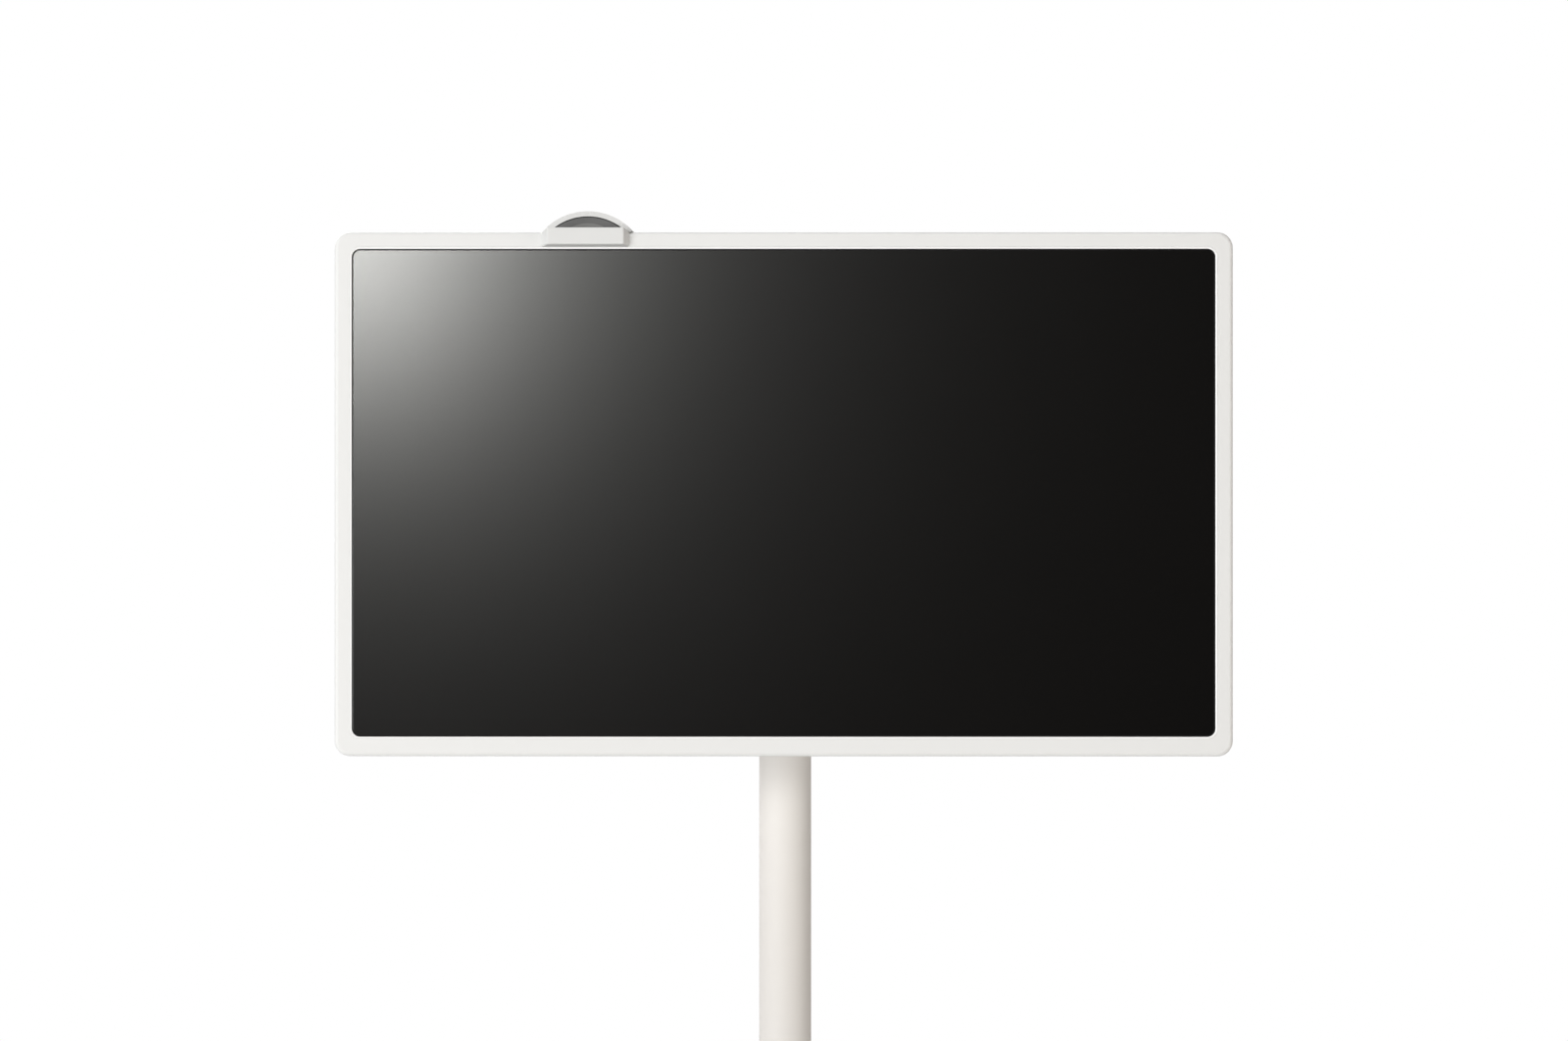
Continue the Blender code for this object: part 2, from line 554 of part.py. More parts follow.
# ---- Head -----------------------------------------------------------------------------------------------
def swivel_head():
    arm = turned(
        "swivel_arm",
        [
            (ARM_HUB_R, ARM_TOP_Z), (ARM_HUB_R, ARM_LOW_Z), (SPINDLE_BORE_R, ARM_LOW_Z),
            (SPINDLE_BORE_R, NUT_SEAT_Z), (NUT_SEAT_R, NUT_SEAT_Z), (NUT_SEAT_R, ARM_TOP_Z),
        ],
        (0, POLE_Y, 0), Z_AXIS, steps=40, ring=True,
    )
    beam_y = (0.027, 0.084)
    beam = box(
        "arm_beam", (-BEAM_HALF, BEAM_HALF), beam_y, (DISPLAY_Z - BEAM_HALF_H, DISPLAY_Z + BEAM_HALF_H)
    )
    for vertex in beam.data.vertices:
        if vertex.co.y < sum(beam_y) / 2:
            vertex.co.x *= LUG_HALF / BEAM_HALF
            vertex.co.z += (DISPLAY_Z - vertex.co.z) * 0.10
    tongue_half = BEAM_HALF_H - 0.002
    tongue = box(
        "arm_tongue", (-LUG_HALF, LUG_HALF), (TILT_Y, beam_y[0] + 0.003),
        (DISPLAY_Z - tongue_half, DISPLAY_Z + tongue_half),
    )
    lug = rod("arm_lug", EAR_R, (-LUG_HALF, TILT_Y, DISPLAY_Z), (LUG_HALF, TILT_Y, DISPLAY_Z), sides=32)
    join(arm, beam, tongue, lug)
    cut(arm, rod("arm_bore", AXLE_BORE_R, (-0.03, TILT_Y, DISPLAY_Z), (0.03, TILT_Y, DISPLAY_Z), sides=24))
    add_part(arm, "aluminium", SWIVEL)
    cap_low = ARM_TOP_Z + GAP
    cap = turned(
        "swivel_cap",
        [
            (0.0, cap_low + 0.0075), (0.0120, cap_low + 0.0069), (0.0200, cap_low + 0.0045),
            (0.0240, cap_low + 0.0007), (ARM_HUB_R, cap_low), (0.0, cap_low),
        ],
        (0, POLE_Y, 0), Z_AXIS, steps=40,
    )
    add_part(cap, "cover_white", SWIVEL)


def tilt_head():
    counterbore_r, counterbore_y = 0.0120, -0.0380
    bracket = turned(
        "tilt_bracket",
        [
            (BEARING_R, BEARING_BACK_Y), (BEARING_R, BEARING_FRONT_Y), (PIVOT_BORE_R, BEARING_FRONT_Y),
            (PIVOT_BORE_R, counterbore_y), (counterbore_r, counterbore_y), (counterbore_r, BEARING_BACK_Y),
        ],
        (0, 0, DISPLAY_Z), Y_AXIS, steps=32, ring=True,
    )
    for side in (-1, 1):
        inner, outer = sorted((side * EAR_IN, side * EAR_OUT))
        tab_y = (BEARING_BACK_Y - 0.004, TILT_Y)
        tab = box(f"ear_tab_{side}", (inner, outer), tab_y, (DISPLAY_Z - EAR_R, DISPLAY_Z + EAR_R))
        eye = rod(f"ear_eye_{side}", EAR_R, (inner, TILT_Y, DISPLAY_Z), (outer, TILT_Y, DISPLAY_Z), sides=32)
        join(bracket, tab, eye)
    bore_half = 0.03
    bore_start, bore_end = (-bore_half, TILT_Y, DISPLAY_Z), (bore_half, TILT_Y, DISPLAY_Z)
    cut(bracket, rod("bracket_bore", AXLE_BORE_R, bore_start, bore_end, sides=24))
    add_part(bracket, "aluminium", TILT)

    head_r, head_in, head_out, tip = 0.0080, EAR_OUT + GAP, EAR_OUT + 0.0035, -EAR_OUT - 0.0020
    axle = turned(
        "tilt_axle",
        [
            (0.0, head_out), (head_r, head_out), (head_r, head_in), (AXLE_R, head_in), (AXLE_R, tip),
            (0.0, tip),
        ],
        (0, TILT_Y, DISPLAY_Z), X_AXIS, steps=24,
    )
    add_part(axle, "steel", TILT)
    washer_r, washer_half, washer_x = 0.0118, 0.0009, (LUG_HALF + EAR_IN) / 2
    for side, word in ((-1, "left"), (1, "right")):
        washer = turned(
            f"friction_washer_{word}",
            [
                (washer_r, washer_half), (washer_r, -washer_half), (AXLE_BORE_R, -washer_half),
                (AXLE_BORE_R, washer_half),
            ],
            (side * washer_x, TILT_Y, DISPLAY_Z), X_AXIS, steps=24, ring=True,
        )
        add_part(washer, "steel", TILT)
    inner_r, inner_y = SHROUD_R - SHROUD_WALL, SHROUD_BACK_Y - 0.0023
    shroud = turned(
        "bracket_cover",
        [
            (SHROUD_MOUTH_R, SHROUD_BACK_Y), (0.0420, SHROUD_BACK_Y), (0.0490, SHROUD_BACK_Y - 0.0030),
            (SHROUD_R, SHROUD_BACK_Y - 0.0100), (SHROUD_R, SHROUD_FRONT_Y), (inner_r, SHROUD_FRONT_Y),
            (inner_r, SHROUD_BACK_Y - 0.0110), (0.0475, SHROUD_BACK_Y - 0.0050), (0.0410, inner_y),
            (SHROUD_MOUTH_R, inner_y),
        ],
        (0, 0, DISPLAY_Z), Y_AXIS, steps=40, ring=True,
    )
    add_part(shroud, "cover_white", TILT)


def pivot_parts():
    shaft_end, boss_back = -0.0310, -0.0700
    hub = turned(
        "pivot_hub",
        [
            (0.0, shaft_end), (PIVOT_R, shaft_end), (PIVOT_R, HUB_BOSS_Y), (HUB_BOSS_R - 0.0040, HUB_BOSS_Y),
            (HUB_BOSS_R, HUB_BOSS_Y - 0.0037), (HUB_BOSS_R, boss_back), (HUB_R, boss_back - 0.0042),
            (HUB_R, BACK_Y), (0.0, BACK_Y),
        ],
        (0, 0, DISPLAY_Z), Y_AXIS, steps=36,
    )
    add_part(hub, "aluminium", PIVOT)
    nut_r, nut_back, nut_front = 0.0115, -0.0312, -0.0377
    nut = turned(
        "pivot_nut",
        [(nut_r, nut_back), (nut_r, nut_front), (PIVOT_BORE_R, nut_front), (PIVOT_BORE_R, nut_back)],
        (0, 0, DISPLAY_Z), Y_AXIS, steps=24, ring=True,
    )
    add_part(nut, "steel", PIVOT)
    cup_r, rim_r, cup_wall, rim_y = 0.0480, 0.0600, 0.0030, -0.1015
    cup = turned(
        "mount_cup",
        [
            (0.0, BACK_Y - GAP), (cup_r, BACK_Y - GAP), (cup_r, rim_y), (rim_r, rim_y),
            (rim_r, CHASSIS_BACK_Y + GAP), (cup_r - cup_wall, CHASSIS_BACK_Y + GAP),
            (cup_r - cup_wall, BACK_Y - GAP - cup_wall), (0.0, BACK_Y - GAP - cup_wall),
        ],
        (0, 0, DISPLAY_Z), Y_AXIS, steps=32,
    )
    add_part(cup, "steel", PIVOT)


# ---- Display --------------------------------------------------------------------------------------------
def front_bezel():
    frame_y = (FRONT_Y, FRAME_BACK_Y)
    frame = slab("front_bezel", DISPLAY_W, DISPLAY_H, frame_y, FRAME_CORNER, corner_segments=8)
    soften(frame, FRAME_ROUNDING, 3, angle=60)
    pocket_w, pocket_h = DISPLAY_W - 2 * FRAME_WALL, DISPLAY_H - 2 * FRAME_WALL
    pocket = slab("bezel_pocket", pocket_w, pocket_h, (GLASS_BACK_Y, BACK_Y), FRAME_CORNER - FRAME_WALL)
    opening_y = (FRONT_Y - 0.032, BACK_Y)
    opening_corner = GLASS_CORNER + GLASS_MARGIN
    opening = slab("bezel_opening", OPENING_W, OPENING_H, opening_y, opening_corner, z_mid=OPENING_Z)
    cut(frame, pocket, opening)
    add_part(frame, "frame_white", PIVOT)


def screen_stack():
    glass_w, glass_h = OPENING_W - 2 * GLASS_MARGIN, OPENING_H - 2 * GLASS_MARGIN
    glass_y = (GLASS_FRONT_Y, GLASS_BACK_Y)
    glass = slab("cover_glass", glass_w, glass_h, glass_y, GLASS_CORNER, z_mid=OPENING_Z)
    add_part(glass, "glass_black", PIVOT)
    panel = slab("lcd_panel", LCD_W, LCD_H, (LCD_FRONT_Y, LCD_BACK_Y), 0.002, corner_segments=2)
    add_part(panel, "panel_grey", PIVOT)
    light = slab("backlight_unit", LCD_W, LCD_H, (LIGHT_FRONT_Y, LIGHT_BACK_Y), 0.002, corner_segments=2)
    add_part(light, "panel_grey", PIVOT)
    around, carrier_y = 0.006, (LCD_FRONT_Y, LIGHT_BACK_Y)
    carrier = slab("middle_frame", CARRIER_W, CARRIER_H, carrier_y, 0.006, corner_segments=3)
    opening_w, opening_h, opening_y = LCD_W + around, LCD_H + around, (-0.13, BACK_Y)
    cut(carrier, slab("carrier_opening", opening_w, opening_h, opening_y, 0.003, corner_segments=2))
    add_part(carrier, "black_plastic", PIVOT)
    chassis_y = (CHASSIS_FRONT_Y, CHASSIS_BACK_Y)
    chassis = slab("chassis_plate", CARRIER_W, CARRIER_H, chassis_y, 0.006, corner_segments=3)
    add_part(chassis, "aluminium", PIVOT)


def rear_cover():
    y = (FRAME_BACK_Y + GAP, BACK_Y)
    width, height = DISPLAY_W - 0.002, DISPLAY_H - 0.002
    cover = slab("rear_cover", width, height, y, COVER_CORNER, back_inset=COVER_SLOPE, rear_rounding=0.0025)
    slope = COVER_SLOPE / (y[1] - y[0])
    side_wall = COVER_WALL * math.hypot(slope, 1.0)
    overshoot = 0.0005
    hollow_y = (y[0] - overshoot, BACK_Y - COVER_WALL)
    front_trim = side_wall - slope * overshoot
    hollow_inset = slope * (hollow_y[1] - hollow_y[0])
    hollow_size = (width - 2 * front_trim, height - 2 * front_trim)
    cut(cover, slab("cover_hollow", *hollow_size, hollow_y, COVER_CORNER - 0.001, back_inset=hollow_inset))
    low_y, high_y = THROUGH_COVER
    cut(cover, rod("cover_hub_hole", HUB_R + 0.0015, (0, low_y, DISPLAY_Z), (0, high_y, DISPLAY_Z), sides=40))
    for index in range(3):
        z = DISPLAY_Z + (index - 1) * BUTTON_PITCH
        start, end = (BUTTON_X, low_y, z), (BUTTON_X, high_y, z)
        cut(cover, rod(f"cover_button_hole_{index}", BUTTON_HOLE_R, start, end, sides=20))
    window_x = (PORT_BLOCK_X[0] - 0.001, PORT_BLOCK_X[1] + 0.001)
    window_z = (PORT_BLOCK_Z[0] - 0.001, PORT_BLOCK_Z[1] + 0.001)
    cut(cover, box("cover_port_window", window_x, THROUGH_COVER, window_z))
    slots, slot_pitch, slot_half, slot_z = 14, 0.018, 0.006, (1.0060, 1.0085)
    for index in range(slots):
        x = (index - (slots - 1) / 2) * slot_pitch
        cut(cover, box(f"vent_{index}", (x - slot_half, x + slot_half), THROUGH_COVER, slot_z))
    bars, bar_pitch, bar_half, bar_z = 8, 0.010, 0.003, (0.6980, 0.7010)
    for side in (-1, 1):
        for index in range(bars):
            x = side * sum(SPEAKER_X) / 2 + (index - (bars - 1) / 2) * bar_pitch
            cut(cover, box(f"grille_{side}_{index}", (x - bar_half, x + bar_half), THROUGH_COVER, bar_z))
    add_part(cover, "cover_white", PIVOT)


def circuit_board(name, x, z, features):
    """A board on four feet. Each feature is (name, x pair, z pair, its rear face's y)."""
    board = box(name, x, BOARD_Y, z)
    buried = BOARD_Y[1] - 0.0001
    for feature, feature_x, feature_z, rear in features:
        join(board, box(feature, feature_x, (buried, rear), feature_z))
    inset = 0.006
    for i, foot_x in enumerate((x[0] + inset, x[1] - inset)):
        for j, foot_z in enumerate((z[0] + inset, z[1] - inset)):
            start, end = (foot_x, CHASSIS_BACK_Y + GAP, foot_z), (foot_x, BOARD_Y[0] + 0.0008, foot_z)
            join(board, rod(f"{name}_foot_{i}{j}", BOARD_FOOT_R, start, end, sides=10))
    add_part(board, "board_green", PIVOT)


def display_electronics():
    circuit_board("main_board", (0.080, 0.230), (0.800, 0.905), [
        ("heat_sink", (0.105, 0.155), (0.840, 0.890), -0.0900),
        ("memory", (0.170, 0.195), (0.850, 0.880), -0.0960),
        ("connector_row", (0.095, 0.215), (0.804, 0.814), -0.0925),
    ])
    circuit_board("driver_board", (-0.200, -0.080), (0.900, 0.960), [
        ("driver_coil", (-0.185, -0.160), (0.915, 0.940), -0.0890),
        ("driver_caps", (-0.145, -0.100), (0.912, 0.930), -0.0910),
    ])

    ports = box("port_block", PORT_BLOCK_X, (CHASSIS_BACK_Y + GAP, BACK_Y - GAP), PORT_BLOCK_Z)
    socket_z = (PORT_Z - SOCKET_H / 2, PORT_Z + SOCKET_H / 2)
    for index, x in enumerate(PORT_XS):
        socket_x = (x - SOCKET_W / 2, x + SOCKET_W / 2)
        cut(ports, box(f"socket_{index}", socket_x, (SOCKET_FLOOR_Y, THROUGH_COVER[1]), socket_z))
    add_part(ports, "black_plastic", PIVOT)

    for side, word in ((-1, "left"), (1, "right")):
        low, high = sorted(side * x for x in SPEAKER_X)
        speaker = box(f"speaker_{word}", (low, high), (CHASSIS_BACK_Y + GAP, -0.0870), SPEAKER_Z)
        mouth_x = ((low + high) / 2 - 0.038, (low + high) / 2 + 0.038)
        mouth_z = (SPEAKER_Z[0] + 0.007, SPEAKER_Z[1] - 0.007)
        cut(speaker, box(f"mouth_{word}", mouth_x, (-0.0890, BACK_Y), mouth_z))
        add_part(soften(speaker, 0.0015, 1), "black_plastic", PIVOT)


def buttons():
    for index, name in enumerate(("volume_down_button", "power_button", "volume_up_button")):
        z = DISPLAY_Z + (index - 1) * BUTTON_PITCH
        axis = joint_empty(f"{name}_axis", (BUTTON_X, BACK_Y, z), PIVOT)
        button = turned(
            name,
            [
                (0.0, BUTTON_TOP_Y), (BUTTON_R - 0.0008, BUTTON_TOP_Y - 0.0002),
                (BUTTON_R, BUTTON_TOP_Y - 0.0008), (BUTTON_R, FLANGE_BACK_Y),
                (BUTTON_FLANGE_R, FLANGE_BACK_Y), (BUTTON_FLANGE_R, FLANGE_FRONT_Y),
                (BUTTON_STEM_R, FLANGE_FRONT_Y - 0.0010), (BUTTON_STEM_R, STEM_Y), (0.0, STEM_Y),
            ],
            (BUTTON_X, 0, z), Y_AXIS, steps=24,
        )
        add_part(button, "cover_white", axis)


# ---- Phone holder ---------------------------------------------------------------------------------------
def phone_holder():
    floor_low, floor_top = DISPLAY_TOP_Z + GAP, DISPLAY_TOP_Z + 0.0018
    arc_z = DISPLAY_TOP_Z - ARC_DROP
    x = (HOLDER_X - HOLDER_HALF_W, HOLDER_X + HOLDER_HALF_W)
    trim_x, trim_y, trim_low = (x[0] - 0.05, x[1] + 0.05), (-0.13, -0.07), DISPLAY_TOP_Z - 0.115
    clip = rod("holder_clip", ARC_R, (ARC_X, REST_FRONT_Y, arc_z), (ARC_X, REST_BACK_Y, arc_z), sides=96)
    cut(clip, box("rest_trim", trim_x, trim_y, (trim_low, floor_low)))
    pad_r, pad_low, pad_back = ARC_R - ARC_RIM, floor_top + 0.0016, REST_FRONT_Y + PAD_RECESS
    recess = rod("pad_recess", pad_r, (ARC_X, REST_FRONT_Y - 0.01, arc_z), (ARC_X, pad_back, arc_z), sides=96)
    cut(recess, box("recess_trim", trim_x, trim_y, (trim_low, pad_low)))
    cut(clip, recess)
    top_plate = box("holder_floor", x, (FRONT_Y + GAP / 2, JAW_BACK_Y), (floor_low, floor_top))
    rear_jaw = box("holder_jaw", x, (JAW_FRONT_Y, JAW_BACK_Y), (JAW_LOW_Z, floor_top))
    join(clip, top_plate, rear_jaw)
    add_part(clip, "frame_white", HOLDER)

    pad_start, pad_end = (ARC_X, REST_FRONT_Y + GAP, arc_z), (ARC_X, pad_back - GAP, arc_z)
    pad = rod("holder_pad", pad_r - GAP, pad_start, pad_end, sides=96)
    cut(pad, box("pad_trim", trim_x, trim_y, (trim_low, pad_low + GAP)))
    add_part(pad, "rubber_grey", HOLDER)

    lip_back = FRONT_Y - GAP
    lip = box("holder_lip", (-0.5, 0.5), (lip_back - LIP_T, lip_back), (0.0, 1.0))
    for vertex in lip.data.vertices:
        in_front = vertex.co.y < lip_back - LIP_T / 2
        half, (low, high) = (LIP_FRONT_HALF, LIP_FRONT_Z) if in_front else (LIP_BACK_HALF, LIP_BACK_Z)
        vertex.co.x = LIP_X + math.copysign(half, vertex.co.x)
        vertex.co.z = DISPLAY_TOP_Z + (high if vertex.co.z > 0.5 else low)
    add_part(soften(lip, 0.0012, 3, angle=25), "frame_white", HOLDER)

    liner_x, liner_y = (x[0] + 0.006, x[1] - 0.006), (JAW_FRONT_Y - 0.0015, JAW_FRONT_Y - GAP)
    liner = box("holder_liner", liner_x, liner_y, (JAW_LOW_Z + 0.003, JAW_LOW_Z + 0.019))
    add_part(liner, "rubber_grey", HOLDER)


def build():
    base_cover()
    ballast_plate()
    pole_foot()
    base_electronics()
    for index in range(CASTERS):
        caster(index)
    pole()
    column()
    swivel_head()
    tilt_head()
    pivot_parts()
    front_bezel()
    screen_stack()
    rear_cover()
    display_electronics()
    buttons()
    phone_holder()


build()
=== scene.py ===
"""Looks for the smart display on its rolling stand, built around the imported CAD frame.

Each visible piece is made in the frame's own metres, from the boxes of the CAD nodes that it stands for,
and rides on the body of those nodes. Nodes that are hidden inside keep their CAD shape and get a finish.
"""

import json
import math

import bmesh
import bpy
from mathutils import Matrix, Vector

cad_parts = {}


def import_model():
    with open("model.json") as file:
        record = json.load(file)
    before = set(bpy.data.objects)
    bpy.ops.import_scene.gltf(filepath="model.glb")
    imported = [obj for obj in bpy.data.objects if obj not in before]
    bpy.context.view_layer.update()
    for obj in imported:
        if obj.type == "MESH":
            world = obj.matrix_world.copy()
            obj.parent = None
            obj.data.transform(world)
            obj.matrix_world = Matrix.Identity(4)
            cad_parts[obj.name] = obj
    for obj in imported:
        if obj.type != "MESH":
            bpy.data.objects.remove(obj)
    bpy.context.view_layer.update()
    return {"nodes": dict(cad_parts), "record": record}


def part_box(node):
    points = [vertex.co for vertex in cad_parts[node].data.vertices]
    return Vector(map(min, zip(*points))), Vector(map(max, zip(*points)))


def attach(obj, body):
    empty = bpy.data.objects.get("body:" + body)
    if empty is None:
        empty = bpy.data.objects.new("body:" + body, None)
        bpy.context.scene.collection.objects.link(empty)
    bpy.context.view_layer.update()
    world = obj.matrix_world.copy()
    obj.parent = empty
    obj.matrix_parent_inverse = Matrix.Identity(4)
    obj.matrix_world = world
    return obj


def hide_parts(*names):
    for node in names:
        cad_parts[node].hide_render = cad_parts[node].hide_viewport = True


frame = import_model()

X_AXIS, Y_AXIS, Z_AXIS = Vector((1, 0, 0)), Vector((0, 1, 0)), Vector((0, 0, 1))
MM = 0.001
SMOOTH_ANGLE = math.radians(32)


# ---- Reading the frame ----
class Extent:
    """The box of a CAD node, with its low and high corners, middle and size."""

    def __init__(self, node):
        self.low, self.high = (Vector(corner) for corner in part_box(node))
        self.middle = (self.low + self.high) / 2
        self.size = self.high - self.low


BEZEL = Extent("front_bezel")
GLASS = Extent("cover_glass")
REAR = Extent("rear_cover")
HUB = Extent("pivot_hub")
SHROUD = Extent("bracket_cover")
BRACKET = Extent("tilt_bracket")
ARM = Extent("swivel_arm")
AXLE = Extent("tilt_axle")
CAP = Extent("swivel_cap")
COLLAR = Extent("pole_collar")
TUBE = Extent("pole_tube")
COLUMN = Extent("inner_column")
COLUMN_HEAD = Extent("column_head")
FOOT_RING = Extent("pole_foot_ring")
BASE = Extent("base_cover")
INLET = Extent("power_inlet")
PORTS = Extent("port_block")
CLIP = Extent("holder_clip")
LIP = Extent("holder_lip")

RECORD = frame["record"]
JOINT_AT = {joint["name"]: Vector(joint.get("pos_m", (0, 0, 0))) for joint in RECORD["behaviour"]["joints"]}
POLE_Y = TUBE.middle.y
POLE_R = TUBE.size.x / 2
DISPLAY_Z = BEZEL.middle.z
TILT_Y = JOINT_AT["display_tilt"].y
HEAD_Z = JOINT_AT["display_tilt"].z


# ---- Node materials ----
class Shader:
    """A Principled material and short calls for the nodes that feed it."""

    def __init__(self, name, **constants):
        self.material = bpy.data.materials.new(name)
        self.material.use_nodes = True
        self.tree = self.material.node_tree
        self.surface = self.tree.nodes["Principled BSDF"]
        self.place = self.node("ShaderNodeTexCoord").outputs["Object"]
        for socket, value in constants.items():
            self.surface.inputs[socket.replace("_", " ")].default_value = value

    def node(self, kind, **settings):
        made = self.tree.nodes.new(kind)
        for name, value in settings.items():
            setattr(made, name, value)
        return made

    def feed(self, node, **inputs):
        for name, value in inputs.items():
            socket = node.inputs[name.replace("_", " ")]
            if isinstance(value, bpy.types.NodeSocket):
                self.tree.links.new(value, socket)
            else:
                socket.default_value = value
        return node

    def noise(self, scale, detail=4.0, roughness=0.5, distortion=0.0, stretch=None):
        place = self.place
        if stretch is not None:
            mapping = self.node("ShaderNodeMapping")
            self.feed(mapping, Vector=place, Scale=stretch)
            place = mapping.outputs["Vector"]
        made = self.node("ShaderNodeTexNoise")
        self.feed(made, Vector=place, Scale=scale, Detail=detail, Roughness=roughness, Distortion=distortion)
        return made.outputs["Fac"]

    def voronoi(self, scale):
        made = self.node("ShaderNodeTexVoronoi")
        self.feed(made, Vector=self.place, Scale=scale)
        return made.outputs["Distance"]

    def ramp(self, value, *stops):
        """A colour ramp from (position, colour) stops."""
        made = self.node("ShaderNodeValToRGB")
        elements = made.color_ramp.elements
        while len(elements) < len(stops):
            elements.new(0.5)
        for element, (position, colour) in zip(elements, stops):
            element.position = position
            element.color = (*colour, 1.0)
        self.tree.links.new(value, made.inputs["Fac"])
        return made.outputs["Color"]

    def levels(self, value, low, high):
        """Maps a 0 to 1 value to low to high."""
        made = self.node("ShaderNodeMapRange")
        self.feed(made, Value=value, To_Min=low, To_Max=high)
        return made.outputs["Result"]

    def mix(self, amount, first, second):
        made = self.node("ShaderNodeMix", data_type="RGBA")
        colour_a, colour_b, colour_out = made.inputs[6], made.inputs[7], made.outputs[2]
        for socket, value in ((made.inputs["Factor"], amount), (colour_a, first), (colour_b, second)):
            if isinstance(value, bpy.types.NodeSocket):
                self.tree.links.new(value, socket)
            else:
                socket.default_value = value if isinstance(value, float) else (*value, 1.0)
        return colour_out

    def bump(self, height, depth, strength, under=None):
        made = self.node("ShaderNodeBump")
        self.feed(made, Height=height, Distance=depth, Strength=strength)
        if under is not None:
            self.tree.links.new(under, made.inputs["Normal"])
        return made.outputs["Normal"]

    def drift(self, colour, dark, light, scale, detail=2.0, ends=(0.3, 0.7)):
        """The colour, wandering over the part between a darker and a lighter tone."""
        stops = [(place, tinted(colour, amount)) for place, amount in zip(ends, (dark, light))]
        return self.ramp(self.noise(scale, detail), *stops)

    def use(self, **inputs):
        self.feed(self.surface, **inputs)
        return self.material

    def coat(self, tone, grain, low, high, depth, strength, under=None):
        """Gives the surface its tone, and a roughness and a relief that both follow the grain."""
        normal = self.bump(grain, depth, strength, under)
        return self.use(Base_Color=tone, Roughness=self.levels(grain, low, high), Normal=normal)


def tinted(colour, amount):
    return tuple(min(1.0, channel * amount) for channel in colour)


def moulded(name, colour, roughness, grain=1400.0, depth=0.00002, drift=0.02):
    """Moulded plastic: a fine spark-eroded grain in the gloss, and a slight drift of tone over the part."""
    shader = Shader(name)
    fine = shader.noise(grain, detail=2.0, roughness=0.6)
    tone = shader.drift(colour, 1 - drift, 1 + drift, 5.0, 3.0, (0.25, 0.75))
    return shader.coat(tone, fine, roughness - 0.05, roughness + 0.05, depth, 0.5)


def powder_coat(name, colour, roughness):
    """Powder-coated steel: a soft orange peel with a finer speckle on it."""
    shader = Shader(name, Specular_IOR_Level=0.35)
    peel = shader.noise(420.0, detail=2.0, roughness=0.4)
    speck = shader.noise(2600.0, detail=1.0)
    tone = shader.drift(colour, 0.985, 1.012, 3.0)
    under = shader.bump(speck, 0.000012, 0.4)
    return shader.coat(tone, peel, roughness - 0.04, roughness + 0.04, 0.00004, 0.35, under)


def cast_metal(name, colour, roughness):
    """Die-cast aluminium, bead blasted."""
    shader = Shader(name, Metallic=1.0)
    fine = shader.noise(1800.0, detail=3.0, roughness=0.65)
    tone = shader.drift(colour, 0.92, 1.04, 14.0, 3.0)
    return shader.coat(tone, fine, roughness - 0.08, roughness + 0.08, 0.00003, 0.5)


def turned_metal(name, colour, roughness):
    """Machined metal with fine level tool lines."""
    shader = Shader(name, Metallic=1.0, Anisotropic=0.4)
    lines = shader.noise(60.0, detail=6.0, roughness=0.7, stretch=(1.0, 1.0, 40.0))
    tone = shader.drift(colour, 0.94, 1.04, 20.0)
    return shader.coat(tone, lines, roughness - 0.1, roughness + 0.12, 0.00001, 0.4)


def soft_rubber(name, colour, roughness):
    """Silicone or rubber with a dusty, slightly uneven surface."""
    shader = Shader(name, Sheen_Weight=0.15, Sheen_Roughness=0.6, Specular_IOR_Level=0.35)
    fine = shader.noise(900.0, detail=3.0, roughness=0.6)
    tone = shader.drift(colour, 0.9, 1.1, 30.0)
    return shader.coat(tone, fine, roughness - 0.06, roughness + 0.06, 0.00004, 0.5)


def circuit_board(name, colour):
    """Solder mask over a lattice of copper tracks."""
    shader = Shader(name, Coat_Weight=0.4, Coat_Roughness=0.2)
    tracks = shader.node("ShaderNodeTexBrick", offset=0.35)
    shader.feed(tracks, Vector=shader.place, Scale=160.0, Mortar_Size=0.08, Mortar_Smooth=0.2)
    vias = shader.voronoi(420.0)
    tone = shader.mix(tracks.outputs["Fac"], tinted(colour, 0.8), tinted(colour, 1.7))
    return shader.use(
        Base_Color=tone,
        Roughness=shader.levels(vias, 0.3, 0.5),
        Normal=shader.bump(tracks.outputs["Fac"], 0.00003, 0.6),
    )


def screen_glass_finish():
    """Black glass with a satin surface that spreads reflections, and the faintest smears."""
    shader = Shader("glass_black", IOR=1.5)
    smear = shader.noise(9.0, detail=5.0, roughness=0.6, distortion=0.6)
    dust = shader.noise(700.0, detail=2.0)
    tone = shader.ramp(smear, (0.2, (0.0011, 0.0007, 0.0004)), (0.8, (0.0015, 0.0010, 0.0007)))
    return shader.use(
        Base_Color=tone,
        Roughness=shader.levels(smear, 0.175, 0.180),
        Normal=shader.bump(dust, 0.000002, 0.1),
    )


# ---- Mesh tools ----
def placed(name, data):
    obj = bpy.data.objects.new(name, data)
    bpy.context.scene.collection.objects.link(obj)
    return obj


def object_from(name, bm):
    """Turns a bmesh into a shown object, smooth except at its sharp edges."""
    bmesh.ops.remove_doubles(bm, verts=bm.verts, dist=1e-7)
    bmesh.ops.recalc_face_normals(bm, faces=bm.faces)
    mesh = bpy.data.meshes.new(name)
    bm.to_mesh(mesh)
    bm.free()
    mesh.shade_smooth()
    mesh.set_sharp_from_angle(angle=SMOOTH_ANGLE)
    return weighted_shading(placed(name, mesh))


def weighted_shading(obj):
    """Keeps the shading of flat faces flat beside rounded edges."""
    weighted = obj.modifiers.new("weighted normals", "WEIGHTED_NORMAL")
    weighted.keep_sharp = True
    weighted.weight = 60
    return obj


